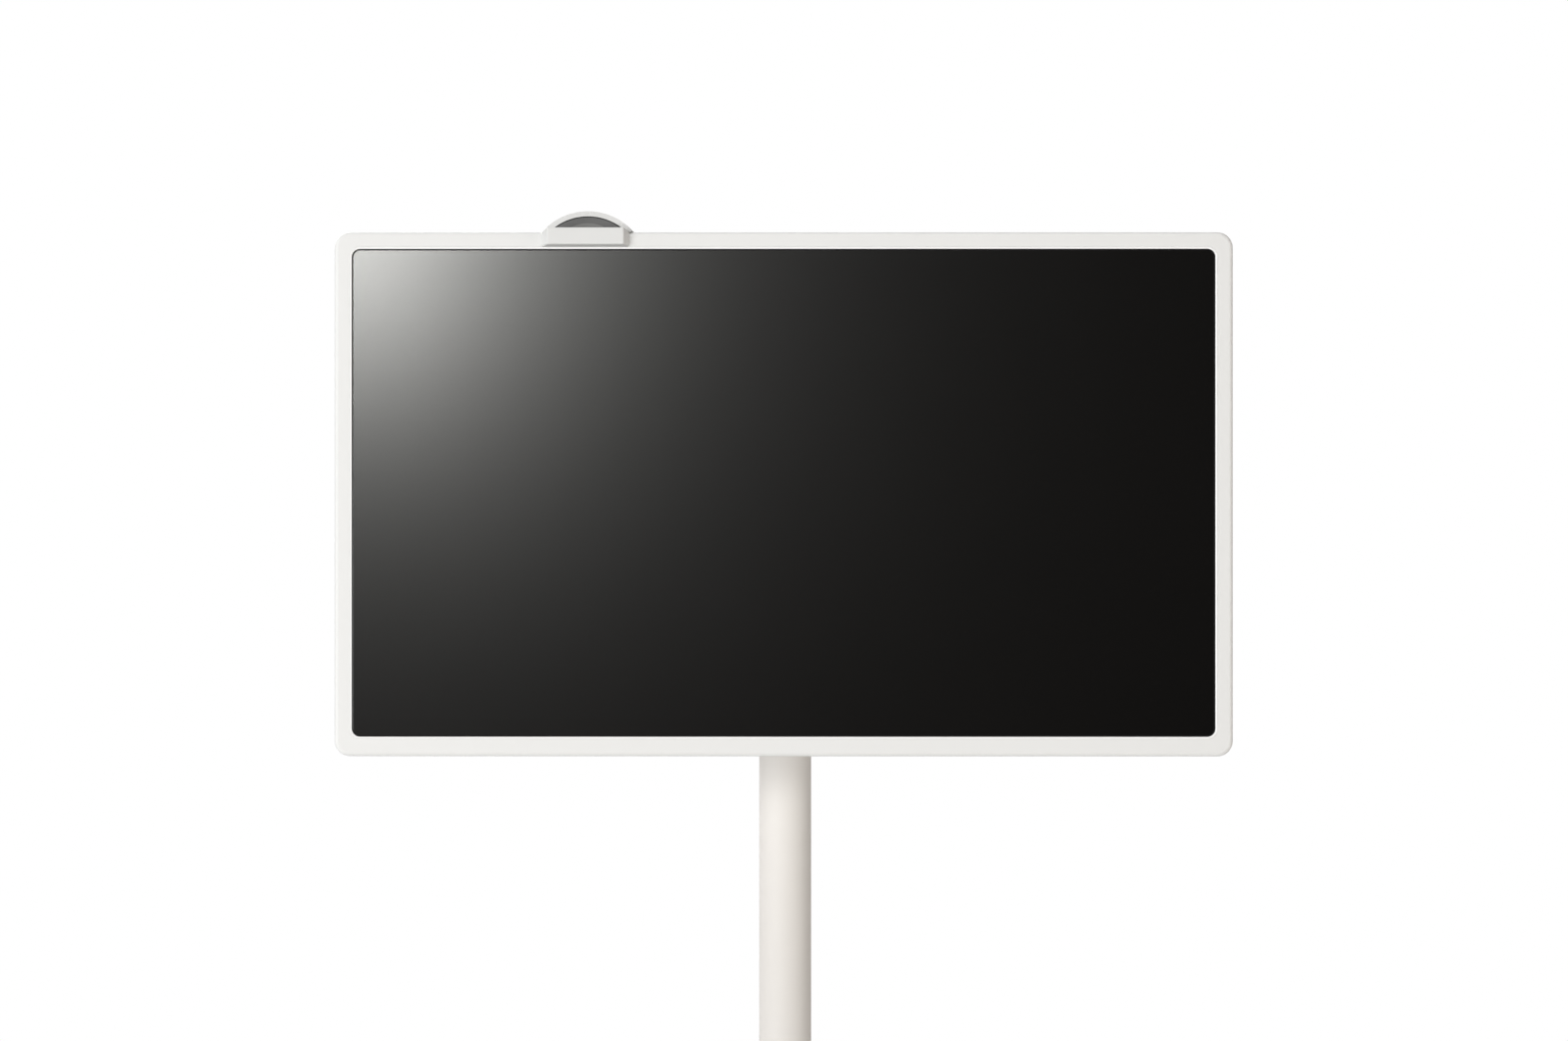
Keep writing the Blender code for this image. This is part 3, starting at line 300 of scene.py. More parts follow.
def baked(obj):
    """Applies the modifiers of obj and returns it."""
    graph = bpy.context.evaluated_depsgraph_get()
    mesh = bpy.data.meshes.new_from_object(obj.evaluated_get(graph))
    obj.modifiers.clear()
    obj.data = mesh
    return obj


def skin(bm, low, high):
    """Faces between two rows of vertices, which are triangles where one row is a single point."""
    for index in range(len(low)):
        after = (index + 1) % len(low)
        corners = list(dict.fromkeys((low[index], low[after], high[after], high[index])))
        if len(corners) > 2:
            bm.faces.new(corners)


def loft(name, loops, ring=False):
    """Joins loops of equally many points. A ring closes on its first loop, otherwise the ends are capped."""
    bm = bmesh.new()
    rows = [[bm.verts.new(point) for point in loop] for loop in loops]
    pairs = list(zip(rows, rows[1:]))
    if ring:
        pairs.append((rows[-1], rows[0]))
    for low, high in pairs:
        skin(bm, low, high)
    if not ring:
        bm.faces.new(rows[0])
        bm.faces.new(reversed(rows[-1]))
    return object_from(name, bm)


def rounded_loop(width, height, radius, y, z_mid, x_mid=0.0, steps=12):
    """A rounded rectangle of points in the upright plane at depth y."""
    points = []
    signs = ((1, 1), (-1, 1), (-1, -1), (1, -1))
    for quarter, (side, upright) in enumerate(signs):
        centre_x = x_mid + side * (width / 2 - radius)
        centre_z = z_mid + upright * (height / 2 - radius)
        for step in range(steps + 1):
            angle = (quarter + step / steps) * math.pi / 2
            points.append((centre_x + radius * math.cos(angle), y, centre_z + radius * math.sin(angle)))
    return points


def rounded_outline(width, height, radius, x_mid, z_mid, steps=5):
    """The (x, z) points of a rounded rectangle, for a prism along Y."""
    return [(x, z) for x, _, z in rounded_loop(width, height, radius, 0, z_mid, x_mid, steps)]


def arc_steps(count):
    """Angles from 0 to a right angle, both ends included."""
    return [step / count * math.pi / 2 for step in range(count + 1)]


def edge_round(radius, count):
    """(across, down) steps over a rounded edge, from the side face to the front face."""
    return [(radius * (1 - math.cos(angle)), radius * (1 - math.sin(angle))) for angle in arc_steps(count)]


def filleted(corners, steps=5, closed=True):
    """Rounds the corners of an outline of (a, b, radius) and returns its (a, b) points."""
    points = []
    for index, (a, b, radius) in enumerate(corners):
        here = Vector((a, b))
        if radius == 0 or (not closed and index in (0, len(corners) - 1)):
            points.append((a, b))
            continue
        before = (Vector(corners[index - 1][:2]) - here).normalized()
        after = (Vector(corners[(index + 1) % len(corners)][:2]) - here).normalized()
        half = before.angle(after) / 2
        reach = radius / math.tan(half)
        centre = here + (before + after).normalized() * radius / math.sin(half)
        start, end = here + before * reach - centre, here + after * reach - centre
        turn = start.angle_signed(end)
        for step in range(steps + 1):
            swing = start.copy()
            swing.rotate(Matrix.Rotation(-turn * step / steps, 2))
            points.append(tuple(centre + swing))
    return points


def lathe(name, corners, origin, axis=Z_AXIS, sides=96, steps=5):
    """Turns a closed outline of (radius, along, fillet) about the axis through origin."""
    outline = filleted(corners, steps)
    turn = Z_AXIS.rotation_difference(axis).to_matrix().to_4x4()
    bm = bmesh.new()
    rows = []
    for radius, along in outline:
        radius = max(radius, 0.0)
        if radius < 1e-6:
            rows.append([bm.verts.new((0, 0, along))] * sides)
            continue
        angles = [2 * math.pi * side / sides for side in range(sides)]
        rows.append([bm.verts.new((radius * math.cos(a), radius * math.sin(a), along)) for a in angles])
    for low, high in zip(rows, rows[1:] + rows[:1]):
        skin(bm, low, high)
    bmesh.ops.transform(bm, matrix=Matrix.Translation(Vector(origin)) @ turn, verts=bm.verts)
    return object_from(name, bm)


def block(name, low, high, rounding, segments=3):
    """A box with all its edges rounded."""
    bm = bmesh.new()
    bmesh.ops.create_cube(bm, size=1.0)
    low, high = Vector(low), Vector(high)
    bmesh.ops.scale(bm, vec=high - low, verts=bm.verts)
    bmesh.ops.translate(bm, vec=(low + high) / 2, verts=bm.verts)
    if rounding:
        bmesh.ops.bevel(bm, geom=bm.edges[:], offset=rounding, segments=segments, affect="EDGES", profile=0.5)
    return object_from(name, bm)


def prism(name, outline, axis, start, end, rounding=0.0, segments=3):
    """Extrudes a closed outline of (a, b) points from start to end along an axis, and rounds its two rims."""
    place = {
        "X": lambda a, b, at: (at, a, b),
        "Y": lambda a, b, at: (a, at, b),
        "Z": lambda a, b, at: (a, b, at),
    }[axis]
    bm = bmesh.new()
    rows = [[bm.verts.new(place(a, b, at)) for a, b in outline] for at in (start, end)]
    caps = [bm.faces.new(rows[0]), bm.faces.new(reversed(rows[1]))]
    skin(bm, *rows)
    if rounding:
        rims = {edge for cap in caps for edge in cap.edges}
        bmesh.ops.bevel(bm, geom=list(rims), offset=rounding, segments=segments, affect="EDGES", profile=0.5)
    return object_from(name, bm)


def rod(name, radius, start, end, sides=48, rounding=0.0):
    """A cylinder between two points with rounded rims."""
    start, end = Vector(start), Vector(end)
    length = (end - start).length
    corners = [(0, length, 0), (radius, length, rounding), (radius, 0, rounding), (0, 0, 0)]
    return lathe(name, corners, start, (end - start).normalized(), sides=sides, steps=3)


def pill(name, x, z, length, width, y_low, y_high, steps=6):
    """A slot-shaped solid along X, for cutting vents."""
    points = []
    for side in (1, -1):
        for step in range(2 * steps + 1):
            angle = -math.pi / 2 + step / (2 * steps) * math.pi
            points.append((
                x + side * ((length - width) / 2 + width / 2 * math.cos(angle)),
                z + side * width / 2 * math.sin(angle),
            ))
    return prism(name, points, "Y", y_low, y_high)


def joined(name, *objects):
    """Several meshes as one object, without merging their volumes."""
    bm = bmesh.new()
    for obj in objects:
        bm.from_mesh(baked(obj).data)
        bpy.data.objects.remove(obj)
    mesh = bpy.data.meshes.new(name)
    bm.to_mesh(mesh)
    bm.free()
    return placed(name, mesh)


def boolean(obj, others, operation):
    """Applies a Boolean with each of the other objects, and removes them."""
    kept = [modifier for modifier in obj.modifiers if modifier.type == "WEIGHTED_NORMAL"]
    for modifier in kept:
        obj.modifiers.remove(modifier)
    for other in others:
        modifier = obj.modifiers.new(other.name, "BOOLEAN")
        modifier.operation = operation
        modifier.solver = "EXACT"
        modifier.object = other
    baked(obj)
    for other in others:
        bpy.data.objects.remove(other)
    return obj


def bevelled(obj, width, segments, angle, harden):
    """Adds a modifier that rounds the edges sharper than the angle."""
    bevel = obj.modifiers.new("rounding", "BEVEL")
    bevel.width, bevel.segments = width, segments
    bevel.limit_method, bevel.angle_limit = "ANGLE", angle
    bevel.harden_normals = harden
    return obj


def smoothed(obj, rounding=0.0, segments=2):
    """Optional rounded edges, then shading that keeps flat faces flat."""
    if rounding:
        baked(bevelled(obj, rounding, segments, SMOOTH_ANGLE, harden=False))
    obj.data.shade_smooth()
    obj.data.set_sharp_from_angle(angle=SMOOTH_ANGLE)
    return weighted_shading(obj)


def finished(obj, material, body, *nodes, slot=None):
    """Gives a new piece its material, the body it rides on, and the CAD nodes it stands for."""
    obj.data.materials.clear()
    obj.data.materials.append(material)
    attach(obj, body)
    if nodes:
        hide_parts(*nodes)


# ---- Finishes ----
WHITE_FRAME = moulded("frame_white", (0.83, 0.828, 0.815), 0.46, depth=0.000012, drift=0.006)
# The frame's white made lighter for the inner lip: painted highlight along the edge of the screen opening.
LIP_WHITE_PAINTED_HIGHLIGHT = moulded("lip_white_painted_highlight", (0.965, 0.963, 0.955), 0.30, depth=0.000004, drift=0.004)
WHITE_HOLDER = moulded("holder_white", (0.745, 0.745, 0.735), 0.42, depth=0.000012, drift=0.008)
WHITE_COVER = moulded("cover_white", (0.80, 0.795, 0.775), 0.55, grain=900.0, depth=0.00003, drift=0.012)
WHITE_KEYS = moulded("key_white", (0.76, 0.755, 0.74), 0.40, drift=0.01)
POLE_PAINT = powder_coat("pole_paint", (0.79, 0.759, 0.725), 0.58)
ARM_PAINT = powder_coat("arm_paint", (0.80, 0.78, 0.745), 0.40)
BLACK_GLASS = screen_glass_finish()
# Black rubber for the gasket round the glass, also used for the black ring behind the holder pad, which is
# painted shade.
GASKET_AND_PAINTED_SHADE = soft_rubber("gasket_black_and_painted_shade", (0.006, 0.006, 0.006), 0.75)
PAD_GREY = soft_rubber("pad_grey", (0.133, 0.133, 0.131), 0.62)
# The pad's grey made lighter for the raised step on the pad: painted highlight.
LENS_PAINTED_HIGHLIGHT = soft_rubber("lens_grey_painted_highlight", (0.205, 0.205, 0.20), 0.5)
RUBBER = soft_rubber("rubber_grey", (0.045, 0.045, 0.046), 0.75)
NYLON = moulded("nylon_grey", (0.45, 0.45, 0.44), 0.50, grain=1100.0, drift=0.03)
BLACK_PLASTIC = moulded("black_plastic", (0.018, 0.018, 0.019), 0.48, grain=1200.0, depth=0.00003, drift=0.1)
PANEL_GREY = moulded("panel_grey", (0.09, 0.09, 0.10), 0.38, drift=0.06)
BATTERY = moulded("battery_blue", (0.05, 0.09, 0.22), 0.42, grain=500.0, drift=0.08)
CAST = cast_metal("aluminium", (0.72, 0.73, 0.74), 0.38)
STEEL = turned_metal("steel", (0.52, 0.53, 0.55), 0.34)
BOARD = circuit_board("board_green", (0.020, 0.085, 0.045))


# ---- Display front ----
GLASS_GAP = 1.0 * MM               # from the CAD glass to the opening in the frame
TOP_GAP = 2.0 * MM                 # the same at the top edge
OPENING_W, OPENING_H = GLASS.size.x + 2 * GLASS_GAP, GLASS.size.z + GLASS_GAP + TOP_GAP
OPENING_Z = GLASS.middle.z + (TOP_GAP - GLASS_GAP) / 2
OPENING_R = 6.4 * MM
FRAME_R, FRAME_EDGE, FRAME_WALL = 12 * MM, 3.0 * MM, 3.0 * MM
LIP_W, LIP_RAISE = 1.7 * MM, 0.25 * MM


def frame_loop(inset, y):
    size = BEZEL.size
    return rounded_loop(size.x - 2 * inset, size.z - 2 * inset, FRAME_R - inset, y, BEZEL.middle.z)


def opening_loop(grow, y):
    return rounded_loop(OPENING_W + 2 * grow, OPENING_H + 2 * grow, OPENING_R + grow, y, OPENING_Z)


def display_frame():
    front, back, shelf = BEZEL.low.y, BEZEL.high.y, GLASS.high.y
    loops = [frame_loop(0, back)]
    loops += [frame_loop(across, front + down) for across, down in edge_round(FRAME_EDGE, 10)]
    loops += [opening_loop(LIP_W, front), opening_loop(LIP_W, shelf)]
    loops += [frame_loop(FRAME_WALL, shelf), frame_loop(FRAME_WALL, back)]
    frame_piece = loft("display_frame", loops, ring=True)
    finished(frame_piece, WHITE_FRAME, "display", "front_bezel", slot="frame_white")

    seam, crest, slope_start, slope_end = 0.06 * MM, 0.3 * MM, 1.25 * MM, 0.12 * MM
    sunk = 0.30 * MM
    top, outer = front - LIP_RAISE, LIP_W - seam
    loops = [opening_loop(outer, shelf)]
    loops += [opening_loop(outer - across, top + down) for across, down in edge_round(crest, 3)]
    loops += [opening_loop(slope_start, top), opening_loop(slope_end, top + sunk)]
    loops += [opening_loop(0, top + sunk * 2), opening_loop(0, shelf)]
    # The inner lip takes the lighter white, a painted highlight round the opening.
    finished(loft("frame_inner_lip", loops, ring=True), LIP_WHITE_PAINTED_HIGHLIGHT, "display", slot="frame_white")


def screen():
    front, back = GLASS.low.y, GLASS.high.y
    edge, gasket_gap = 0.35 * MM, 0.8 * MM

    def glass_loop(inset, y):
        return opening_loop(-gasket_gap - inset, y)

    loops = [glass_loop(0, back)]
    loops += [glass_loop(across, front + down) for across, down in edge_round(edge, 5)]
    finished(loft("screen_glass", loops), BLACK_GLASS, "display", "cover_glass", slot="glass_black")

    clearance, sunk = 0.08 * MM, 0.5 * MM
    loops = [
        opening_loop(-clearance, back), opening_loop(-clearance, front + sunk),
        glass_loop(-clearance, front + sunk), glass_loop(-clearance, back),
    ]
    finished(loft("glass_gasket", loops, ring=True), GASKET_AND_PAINTED_SHADE, "display", slot="rubber_grey")


# ---- Display back ----
COVER_R = 11 * MM
COVER_INSET = 28 * MM              # the flat back is this much smaller on each side
COVER_WALL = 2.2 * MM
HUB_HOLE_R = HUB.size.x / 2 + 1.5 * MM
VENT_Z, VENT_COUNT, VENT_PITCH, VENT_W, VENT_H = 1.00725, 14, 18 * MM, 14 * MM, 2.6 * MM
GRILLE_X, GRILLE_Z, GRILLE_PITCH, GRILLE_HOLE_R = 0.240, 0.6995, 5 * MM, 1.3 * MM
GRILLE_COLUMNS, GRILLE_ROWS = 16, 3
KEY_HOLE_R = 5.6 * MM
KEYS = {name: Extent(name) for name in ("volume_down_button", "power_button", "volume_up_button")}
KEY_X = KEYS["power_button"].middle.x
KEY_ZS = [key.middle.z for key in KEYS.values()]
KEY_BODIES = {
    "volume_down_button": "volume_down_key", "power_button": "power_key", "volume_up_button": "volume_up_key",
}
SCREW_WELL_R, SCREW_SEAT_Y = 4.2 * MM, REAR.high.y - 1.3 * MM
SCREW_X, SCREW_Z = 0.300, 0.156
SCREW_PLACES = [(x, DISPLAY_Z + z) for z in (-SCREW_Z, SCREW_Z) for x in (-SCREW_X, SCREW_X)]
SCREW_PLACES += [(0, DISPLAY_Z - SCREW_Z), (0.090, DISPLAY_Z + SCREW_Z)]


def cover_loop(inset, y):
    size = REAR.size
    return rounded_loop(size.x - 2 * inset, size.z - 2 * inset, COVER_R, y, REAR.middle.z)


def cover_profile(wall):
    """(inset, y) down one side of the cover, from the rim to the flat back, for a skin this far inside."""
    rim, back = REAR.low.y, REAR.high.y
    brow = 3.2 * MM
    corners = [
        (wall, rim, 0), (wall, rim + brow - wall, 4 * MM),
        (COVER_INSET + wall * 0.4, back - wall, 14 * MM), (COVER_INSET + 60 * MM, back - wall, 0),
    ]
    return filleted(corners, steps=8, closed=False)[:-1]


def round_cutters(name, places, radius, y_low, y_high, sides=12):
    """One cutter with a round hole at each (x, z) place."""
    bm = bmesh.new()
    spin = Matrix.Rotation(math.pi / 2, 4, "X")
    for x, z in places:
        place = Matrix.Translation((x, (y_low + y_high) / 2, z)) @ spin
        bmesh.ops.create_cone(
            bm, cap_ends=True, segments=sides, radius1=radius, radius2=radius,
            depth=y_high - y_low, matrix=place,
        )
    return object_from(name, bm)


def back_cover():
    skin_in = [cover_loop(inset, y) for inset, y in cover_profile(COVER_WALL)]
    skin_out = [cover_loop(inset, y) for inset, y in cover_profile(0)]
    cover = loft("back_cover", list(reversed(skin_in)) + skin_out)
    through = (REAR.low.y - 20 * MM, REAR.high.y + 10 * MM)
    cutters = [rod("hub_hole", HUB_HOLE_R, (0, through[0], HEAD_Z), (0, through[1], HEAD_Z), sides=72)]
    for index in range(VENT_COUNT):
        x = (index - (VENT_COUNT - 1) / 2) * VENT_PITCH
        cutters.append(pill(f"vent_{index}", x, VENT_Z, VENT_W, VENT_H, *through))
    across = [(column - (GRILLE_COLUMNS - 1) / 2) * GRILLE_PITCH for column in range(GRILLE_COLUMNS)]
    upward = [(row - (GRILLE_ROWS - 1) / 2) * GRILLE_PITCH for row in range(GRILLE_ROWS)]
    grille = [(side * GRILLE_X + x, GRILLE_Z + z) for side in (-1, 1) for x in across for z in upward]
    cutters.append(round_cutters("grille", grille, GRILLE_HOLE_R, *through))
    cutters.append(round_cutters("key_holes", [(KEY_X, z) for z in KEY_ZS], KEY_HOLE_R, *through, sides=40))
    wells = (SCREW_SEAT_Y - 0.1 * MM, through[1])
    cutters.append(round_cutters("screw_wells", SCREW_PLACES, SCREW_WELL_R, *wells, sides=32))
    width, height = PORTS.size.x + 2 * MM, PORTS.size.z + 2 * MM
    window = rounded_outline(width, height, 3 * MM, PORTS.middle.x, PORTS.middle.z, steps=6)
    cutters.append(prism("port_window", window, "Y", *through))
    boolean(cover, cutters, "DIFFERENCE")
    finished(smoothed(cover, 0.35 * MM, 2), WHITE_COVER, "display", "rear_cover", slot="cover_white")


def keys():
    for node, key in KEYS.items():
        low, high = key.low.y, key.high.y
        stem, flange, top_r = 2.5 * MM, 6.8 * MM, 5.0 * MM
        flange_low, flange_high = high - 5.4 * MM, high - 3.9 * MM
        corners = [
            (0, high - 0.25 * MM, 0), (1.6 * MM, high - 0.2 * MM, 2 * MM), (top_r, high, 1.1 * MM),
            (top_r, flange_high, 0), (flange, flange_high, 0), (flange, flange_low, 0),
            (stem, flange_low, 0), (stem, low, 0), (0, low, 0),
        ]
        piece = lathe(f"{node}_cap", corners, (key.middle.x, 0, key.middle.z), Y_AXIS, sides=48)
        finished(piece, WHITE_KEYS, KEY_BODIES[node], node, slot="cover_white")


def screw_head(name, x, z, y):
    """A pan head with a cross recess, facing +Y."""
    radius, height, floor_y = 3.4 * MM, 0.9 * MM, y + 0.35 * MM
    corners = [(0, height, 0), (radius, height, 0.8 * MM), (radius, 0, 0), (0, 0, 0)]
    pan = lathe(name, corners, (x, y, z), Y_AXIS, sides=32, steps=4)
    long, thin = 1.7 * MM, 0.35 * MM
    slots = [
        block(f"{name}_slot_{i}", (x - a, floor_y, z - b), (x + a, y + 2 * MM, z + b), 0)
        for i, (a, b) in enumerate(((long, thin), (thin, long)))
    ]
    return boolean(pan, slots, "DIFFERENCE")


def back_screws():
    heads = [screw_head(f"screw_{i}", x, z, SCREW_SEAT_Y) for i, (x, z) in enumerate(SCREW_PLACES)]
    finished(smoothed(joined("back_screws", *heads)), STEEL, "display", slot="steel")


def frame_sockets():
    """The two socket openings that the record states, as (low, high) corners."""
    openings = RECORD["physics"]["openings"]
    boxes = [opening["box_m"] for opening in openings if opening["name"].startswith("socket")]
    return [(Vector(low), Vector(high)) for low, high in boxes]


def port_panel():
    low, high = PORTS.low, PORTS.high
    panel = block("port_panel", low, high, 0.8 * MM, 2)
    cutters, tongues = [], []
    inset, half_thick = 2.2 * MM, 0.6 * MM
    for index, (box_low, box_high) in enumerate(frame_sockets()):
        width, height = box_high.x - box_low.x, box_high.z - box_low.z
        x_mid, z_mid = (box_low.x + box_high.x) / 2, (box_low.z + box_high.z) / 2
        outline = rounded_outline(width, height, 1.1 * MM, x_mid, z_mid, steps=4)
        cutters.append(prism(f"socket_{index}", outline, "Y", box_low.y, high.y + 5 * MM))
        tongue_low = (box_low.x + inset, box_low.y - 1 * MM, z_mid - half_thick)
        tongue_high = (box_high.x - inset, high.y - 2.6 * MM, z_mid + half_thick)
        tongues.append(block(f"tongue_{index}", tongue_low, tongue_high, 0.2 * MM, 2))
    boolean(panel, cutters, "DIFFERENCE")
    finished(smoothed(panel, 0.25 * MM), BLACK_PLASTIC, "display", "port_block", slot="black_plastic")
    finished(smoothed(joined("socket_tongues", *tongues)), STEEL, "display", slot="steel")


# ---- Head ----
AXLE_BORE_R = 5.2 * MM
EAR_IN, EAR_OUT, EAR_R = 12.5 * MM, 19.5 * MM, 14 * MM
BORE_REACH = 50 * MM               # half the length of the cutter for the axle's bores


def axle_rod(name, radius, half, sides=40, rounding=0.0):
    """A rod on the tilt axis, equally long on both sides of the middle."""
    return rod(name, radius, (-half, TILT_Y, HEAD_Z), (half, TILT_Y, HEAD_Z), sides, rounding)


def head():
    hub_r = ARM.size.x / 2
    low, high = ARM.low.z, ARM.high.z
    bore, seat_r, seat = 10.4 * MM, 15 * MM, high - 10 * MM
    corners = [
        (hub_r, high, 0.8 * MM), (hub_r, low, 1.2 * MM), (bore, low, 0),
        (bore, seat, 0), (seat_r, seat, 0), (seat_r, high, 0),
    ]
    hub = lathe("head_arm", corners, (0, POLE_Y, 0))
    stations = [
        (POLE_Y - 8 * MM, 32 * MM, 28 * MM), (POLE_Y - 24 * MM, 30 * MM, 28 * MM),
        (POLE_Y - 55 * MM, 22 * MM, 26 * MM), (POLE_Y - 70 * MM, 20 * MM, 25 * MM),
        (TILT_Y, 20 * MM, 24 * MM),
    ]
    beam = loft("arm_beam", [rounded_loop(w, h, 5 * MM, y, HEAD_Z, steps=6) for y, w, h in stations])
    lug = axle_rod("arm_lug", 14 * MM, 10 * MM, sides=64, rounding=0.8 * MM)
    boolean(hub, [beam, lug], "UNION")
    boolean(hub, [axle_rod("arm_bore", AXLE_BORE_R, BORE_REACH)], "DIFFERENCE")
    finished(smoothed(hub, 0.5 * MM, 2), ARM_PAINT, "head", "swivel_arm", slot="aluminium")

    cap_low, cap_high, cap_r = CAP.low.z, CAP.high.z, CAP.size.x / 2
    corners = [
        (0, cap_high, 0), (cap_r * 0.55, cap_high - 0.5 * MM, 20 * MM), (cap_r, cap_high - 3.4 * MM, 3 * MM),
        (cap_r, cap_low, 0.4 * MM), (0, cap_low, 0),
    ]
    piece = lathe("head_cap", corners, (0, POLE_Y, 0))
    finished(piece, WHITE_COVER, "head", "swivel_cap", slot="cover_white")


def tilt_yoke():
    back, front = TILT_Y - 40 * MM, BRACKET.low.y
    disc_r, bore, counterbore = BRACKET.size.x / 2, 8.3 * MM, 12 * MM
    seat, ear_root = back - 8 * MM, back - 4 * MM
    corners = [
        (disc_r, back, 1.5 * MM), (disc_r, front, 1.5 * MM), (bore, front, 0),
        (bore, seat, 0), (counterbore, seat, 0), (counterbore, back, 0.8 * MM),
    ]
    disc = lathe("tilt_yoke", corners, (0, 0, HEAD_Z), Y_AXIS, sides=80)
    outline = [(ear_root, HEAD_Z - EAR_R), (TILT_Y, HEAD_Z - EAR_R)]
    for step in range(1, 16):
        angle = -math.pi / 2 + step / 16 * math.pi
        outline.append((TILT_Y + EAR_R * math.cos(angle), HEAD_Z + EAR_R * math.sin(angle)))
    outline += [(TILT_Y, HEAD_Z + EAR_R), (ear_root, HEAD_Z + EAR_R)]
    spans = ((-EAR_OUT, -EAR_IN), (EAR_IN, EAR_OUT))
    ears = [prism(f"ear_{index}", outline, "X", *span, 0.7 * MM, 2) for index, span in enumerate(spans)]
    boolean(disc, ears, "UNION")
    boolean(disc, [axle_rod("ear_bore", AXLE_BORE_R, BORE_REACH)], "DIFFERENCE")
    finished(smoothed(disc), CAST, "tilt_frame", "tilt_bracket", slot="aluminium")


def tilt_pin():
    """The tilt axle, with a hexagon socket in its head."""
    head_r, head_in, head_out = AXLE.size.y / 2, EAR_OUT + 0.3 * MM, AXLE.high.x
    pin_r, tip = 4.9 * MM, AXLE.low.x
    corners = [
        (0, head_out, 0), (head_r, head_out, 0.9 * MM), (head_r, head_in, 0.2 * MM),
        (pin_r, head_in, 0), (pin_r, tip, 0.6 * MM), (0, tip, 0),
    ]
    pin = lathe("tilt_pin", corners, (0, TILT_Y, HEAD_Z), X_AXIS, sides=64)
    socket_r, socket_depth = 3.4 * MM, 2.2 * MM
    floor_x, beyond = head_out - socket_depth, head_out + socket_depth
    corners = [(0, beyond, 0), (socket_r, beyond, 0), (socket_r, floor_x, 0), (0, floor_x, 0)]
    boolean(pin, [lathe("pin_socket", corners, (0, TILT_Y, HEAD_Z), X_AXIS, sides=6)], "DIFFERENCE")
    finished(smoothed(pin), STEEL, "tilt_frame", "tilt_axle", slot="steel")


def hub_shroud():
    shroud_r, rear, front = SHROUD.size.x / 2, SHROUD.high.y, SHROUD.low.y
    wall, mouth = 2.5 * MM, 25.5 * MM
    inner_r, inner_rear = shroud_r - wall, rear - wall
    corners = [
        (mouth, rear, 0.6 * MM), (shroud_r, rear, 11 * MM), (shroud_r, front, 0.8 * MM),
        (inner_r, front, 0.5 * MM), (inner_r, inner_rear, 9 * MM), (mouth, inner_rear, 0.4 * MM),
    ]
    piece = lathe("hub_shroud", corners, (0, 0, HEAD_Z), Y_AXIS, sides=112, steps=10)
    finished(piece, WHITE_COVER, "tilt_frame", "bracket_cover", slot="cover_white")


def pivot_disc():
    shaft_r, neck_r, boss_r, rim_r = 8 * MM, 26 * MM, 30 * MM, HUB.size.x / 2
    shaft_end, front = HUB.high.y, HUB.low.y
    shoulder, boss_start, boss_end, crown, rim_start = -50.3 * MM, -54 * MM, -70 * MM, -73.8 * MM, -75.4 * MM
    corners = [
        (0, shaft_end, 0), (shaft_r, shaft_end, 0.8 * MM), (shaft_r, shoulder, 0), (neck_r, shoulder, 2 * MM),
        (boss_r, boss_start, 2 * MM), (boss_r, boss_end, 3 * MM), (rim_r - 2 * MM, crown, 1 * MM),
        (rim_r, rim_start, 0.8 * MM), (rim_r, front, 0.5 * MM), (0, front, 0),
    ]
    piece = lathe("pivot_disc", corners, (0, 0, HEAD_Z), Y_AXIS, sides=96)
    finished(piece, ARM_PAINT, "display", "pivot_hub", slot="aluminium")


# ---- Pole and column ----
def pole():
    bore = POLE_R - 2.7 * MM
    low, high = TUBE.low.z, TUBE.high.z
    corners = [(POLE_R, high, 0.5 * MM), (POLE_R, low, 0), (bore, low, 0), (bore, high, 0)]
    piece = lathe("pole", corners, (0, POLE_Y, 0), sides=128)
    finished(piece, POLE_PAINT, "stand", "pole_tube", slot="pole_paint")

    guide_r, column_r = bore - 0.3 * MM, COLUMN.size.x / 2 + 0.3 * MM
    collar_r, low, high = COLLAR.size.x / 2, TUBE.high.z + 0.3 * MM, COLLAR.high.z
    corners = [
        (collar_r, high, 1.6 * MM), (collar_r, low, 0.5 * MM), (guide_r, low, 0), (guide_r, COLLAR.low.z, 0),
        (column_r, COLLAR.low.z, 0), (column_r, high, 0.8 * MM),
    ]
    piece = lathe("pole_collar_ring", corners, (0, POLE_Y, 0), sides=112)
    finished(piece, WHITE_COVER, "stand", "pole_collar", slot="nylon_grey")

    ring_r, ring_in = FOOT_RING.size.x / 2, POLE_R + 0.3 * MM
    low, high = FOOT_RING.low.z, FOOT_RING.high.z
    corners = [
        (ring_in + 3 * MM, high, 1.5 * MM), (ring_r, low + 1.6 * MM, 1.5 * MM), (ring_r, low, 0.2 * MM),
        (ring_in, low, 0), (ring_in, high, 0.6 * MM),
    ]
    piece = lathe("foot_ring", corners, (0, POLE_Y, 0), sides=112)
    finished(piece, WHITE_COVER, "stand", "pole_foot_ring", slot="cover_white")


